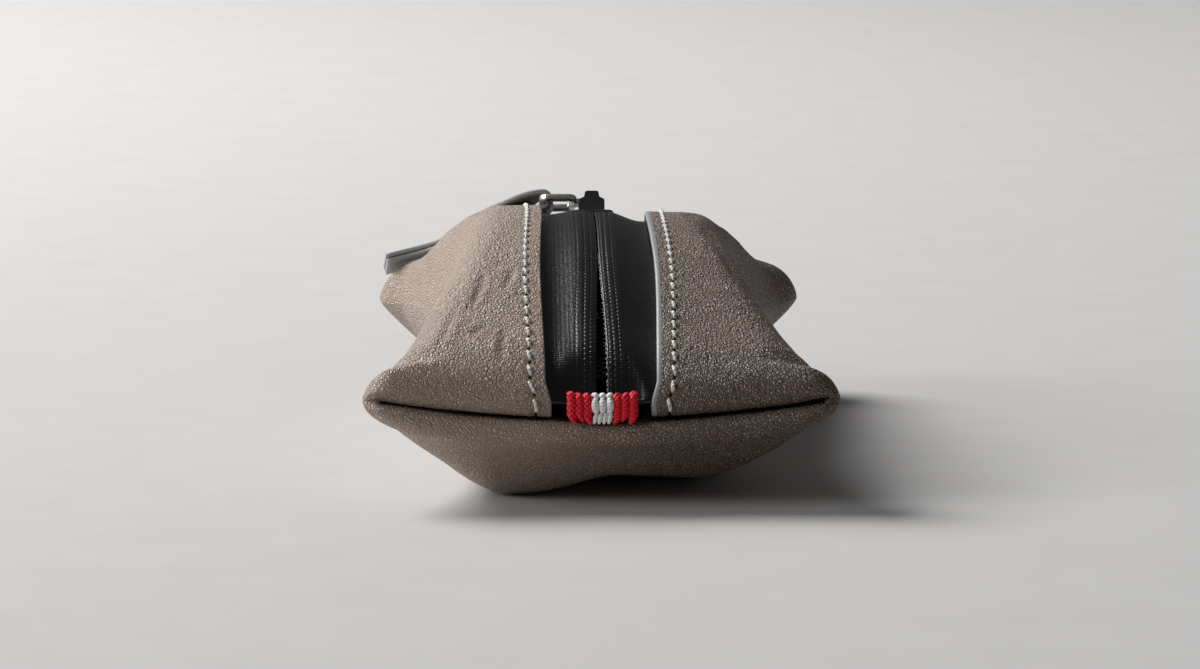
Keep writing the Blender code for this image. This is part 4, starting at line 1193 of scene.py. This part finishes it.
def make_key_tab():
    sewn_z = SEAM_HEIGHT - SLEEVE_HALF - LEATHER / 2 - FIT - STRAP_PLY_HALF - STRAP_THICKNESS / 2
    end = Vector((TAB_OFFSET, HALF_LENGTH - TAB_SEWN_IN, sewn_z))
    loop = Vector((TAB_OFFSET, HALF_LENGTH - TAB_REACH, TAB_LOOP_HEIGHT))
    reach = 0.4 * (end - loop).length
    rise = Vector(TAB_RISES).normalized()
    curve = (loop, loop + rise * reach, end - Vector((0, reach, 0)), end)
    frames = strip_frames(curve, ACROSS, ACROSS, tab_wrap(), STRAP_PLY_HALF, TAB_CLOSES_AFTER, 30)
    look = smooth_leather_look("tab_leather", (0.17, 0.13, 0.108), (0.25, 0.20, 0.17))
    made = folded_strip("key_tab_strip", frames, tab_wrap(), TAB_WIDTH, look, "pouch")
    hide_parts("key_tab")


def ribbon_place(x, t, out):
    """Point on the folded ribbon: t runs up its front face from the seam, over the fold and down the back."""
    seam_y, seam_z = drop_curve()[3]
    slope = Vector((0, math.cos(SEAM_SLOPE), math.sin(SEAM_SLOPE)))
    outward = Vector((0, -math.sin(SEAM_SLOPE), math.cos(SEAM_SLOPE)))
    foot = slope * ((SEAM_HEIGHT + FIT - seam_z) / math.sin(SEAM_SLOPE))
    half = RIBBON_THICKNESS / 2
    root = Vector((0, -seam_y, seam_z)) + outward * (FIT + half) + foot
    bend = math.pi * half
    bow = RIBBON_DIP * (1 - (2 * x / RIBBON_WIDTH) ** 2) * min(1.0, max(0.0, t / RIBBON_FACE))
    t = t * (1 - bow / RIBBON_FACE) if t < RIBBON_FACE else t - bow
    top = RIBBON_FACE - bow
    if t <= top:
        centre, normal = root + slope * t, outward
    elif t <= top + bend:
        a = (t - top) / half
        centre = root + slope * top
        normal = outward * math.cos(a) + slope * math.sin(a)
    else:
        centre, normal = root + slope * (2 * top + bend - t), -outward
    return centre + ACROSS * x + normal * (half + out)


def yarn(bundle, line, width, lift, slot):
    """One float of yarn along a line of (x, t) places, bulging out of the ribbon and sunk at its ends."""
    rings = []
    count = 14
    legs = [math.dist(a, b) for a, b in zip(line, line[1:])]
    length = sum(legs)
    for k in range(count + 1):
        u = k / count
        left = u * length
        leg = 0
        while leg < len(legs) - 1 and left > legs[leg]:
            left -= legs[leg]
            leg += 1
        (x0, t0), (x1, t1) = line[leg], line[leg + 1]
        share = left / legs[leg]
        x, t = mix(x0, x1, share), mix(t0, t1, share)
        turn = math.atan2(x1 - x0, t1 - t0)
        bulge = math.sin(math.pi * u)
        radius = width / 2 * max(0.12, bulge ** 0.4)
        around = []
        for a in angles(12):
            aside = math.cos(a) * radius
            out = math.sin(a) * radius * 0.9 + lift * bulge ** 0.6 - width * 0.22
            around.append(ribbon_place(x + aside * math.cos(turn), t - aside * math.sin(turn), out))
        rings.append(around)
    bundle.tube(rings, slot, length / count)


def red_strokes(bundle, rng):
    """Columns of slanted strokes on both sides of the white, mirrored across the fold."""
    for side in (-1, 1):
        for c in range(RIBBON_COLUMNS):
            x = side * (RIBBON_WHITE + (c + 0.5) * RIBBON_COLUMN)
            t = RIBBON_FIRST_ROW + (0.5 * RIBBON_ROW if c % 2 else 0.0)
            while t < RIBBON_LENGTH:
                way = side if t < STROKES_TURN_AT else -side
                reach = way * RIBBON_COLUMN * (STROKE_REACH + rng.uniform(-0.04, 0.05))
                rise = RIBBON_ROW * (STROKE_RISE + rng.uniform(-0.08, 0.1))
                middle = t + rng.uniform(-0.1, 0.1) * RIBBON_ROW
                line = [(x - reach, t - rise), (x, middle), (x + reach, t + rise)]
                width = STROKE_WIDTH + rng.uniform(-0.00006, 0.00008)
                yarn(bundle, line, width, STROKE_LIFT + rng.uniform(0, 0.00008), 0)
                t += RIBBON_ROW


def white_strands(bundle):
    """Three long strands side by side, and the slanted ends of others at their foot."""
    for c in (-1, 0, 1):
        x, lean_in = c * STRAND_PITCH, -c * STRAND_LEAN
        for low, high in STRANDS:
            line = [(x + lean_in, low), (x, low + STRAND_BEND), (x, high - STRAND_BEND),
                    (x + lean_in * 0.6, high)]
            yarn(bundle, line, STRAND_WIDTH, STRAND_LIFT, 1)
    for k in range(FOOT_STRANDS):
        x = (k - (FOOT_STRANDS - 1) / 2) * FOOT_PITCH
        yarn(bundle, [(x + aside, t) for aside, t in FOOT_LINE], FOOT_WIDTH, FOOT_LIFT, 1)


def ribbon_core(bundle):
    """The flat ground that the yarns are woven on."""
    edge = RIBBON_WIDTH / 2 - CORE_INSET
    rings = []
    for k in range(CORE_STEPS + 1):
        t = RIBBON_LENGTH * k / CORE_STEPS
        rings.append([ribbon_place(x, t, CORE_TOP) for x in np.linspace(-edge, edge, 12)]
                     + [ribbon_place(x, t, CORE_BOTTOM) for x in np.linspace(edge, -edge, 12)])
    bundle.tube(rings, 2, RIBBON_LENGTH / CORE_STEPS)


def make_ribbon():
    """Red, white and red ribbon of thick yarns, modelled float by float on both faces and over its fold."""
    bundle = Bundle()
    red_strokes(bundle, random.Random(3))
    white_strands(bundle)
    ribbon_core(bundle)
    red = thread_look("red_yarn", (0.50, 0.004, 0.016), (0.88, 0.014, 0.040), 0.5)
    white = thread_look("white_yarn", (0.76, 0.76, 0.76), (0.95, 0.95, 0.95), 0.6)
    deep = thread_look("deep_red_yarn", (0.12, 0.001, 0.004), (0.30, 0.004, 0.012), 0.8)
    made = bundle.add("woven_ribbon", [red, white, deep], "pouch", leans=False)
    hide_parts("end_ribbon")


def dress_metal():
    """Finish of the pieces carried over from the CAD model, with their edges softened."""
    dark = metal_look("black_nickel", (0.20, 0.196, 0.20), 0.34, 0.35)
    bright = metal_look("polished_nickel", (0.86, 0.84, 0.81), 0.32, 0.12)
    ring = metal_look("nickel_ring", (0.62, 0.61, 0.59), 0.26, 0.2)
    for node, look, bevel in (("slider_body", dark, 0.00022), ("puller_frame", bright, 0.00012),
                              ("key_ring", ring, 0.00012)):
        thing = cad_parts[node]
        thing.data.materials.clear()
        thing.data.materials.append(look)
        joined = thing.modifiers.new("joined", 'WELD')
        joined.merge_threshold = 0.000002
        soft = thing.modifiers.new("soft_edges", 'BEVEL')
        soft.width = bevel
        soft.segments = 2
        soft.limit_method = 'ANGLE'
        soft.angle_limit = math.radians(35)


# Floor, light and camera

def make_stage():
    mesh = bpy.data.meshes.new("floor")
    corners = [(-1, -1), (1, -1), (1, 1), (-1, 1)]
    mesh.from_pydata([(x * FLOOR_REACH, y * FLOOR_REACH, 0) for x, y in corners], [], [(0, 1, 2, 3)])
    mesh.materials.append(floor_look())
    floor = linked("floor", mesh)


def aim(thing, place, target):
    """Puts a lamp or the camera at a place, looking at the target."""
    thing.location = place
    thing.rotation_mode = 'QUATERNION'
    thing.rotation_quaternion = (Vector(target) - Vector(place)).to_track_quat('-Z', 'Y')


def add_area(name, place, size, watts):
    light = bpy.data.lights.new(name, 'AREA')
    light.shape = 'RECTANGLE'
    light.size, light.size_y = size, size
    light.energy = watts
    aim(linked(name, light), place, MIDDLE)


def make_light():
    """One large soft lamp from behind on the left, a weaker one low on the left, and a dim room."""
    add_area("key_light", KEY_PLACE, KEY_SIZE, KEY_WATTS)
    add_area("side_light", SIDE_PLACE, SIDE_SIZE, SIDE_WATTS)
    world = bpy.data.worlds.new("studio")
    world.use_nodes = True
    sky = world.node_tree.nodes["Background"]
    sky.inputs["Color"].default_value = (1.0, 1.0, 1.0, 1.0)
    sky.inputs["Strength"].default_value = ROOM
    bpy.context.scene.world = world


def make_camera():
    data = bpy.data.cameras.new("camera")
    data.lens = CAMERA_LENS
    data.sensor_width = 36.0
    data.clip_start, data.clip_end = 0.05, 20.0
    camera = linked("camera", data)
    aim(camera, CAMERA_PLACE, CAMERA_AIM)
    bpy.context.scene.camera = camera


make_camera()
make_light()
make_stage()
make_leather()
make_stitches()
tape, nylon = tape_look(), nylon_look()
make_tape(-1, "tape_half_left", "zip_tape_left", tape)
make_tape(1, "tape_half_right", "zip_tape_right", tape)
make_coil(-1, "coil_half_left", "zip_coil_left", nylon)
make_coil(1, "coil_half_right", "zip_coil_right", nylon)
make_painted_lip_glints()
make_pull_strap()
make_key_tab()
make_ribbon()
dress_metal()
bpy.context.scene.view_settings.view_transform = 'Standard'
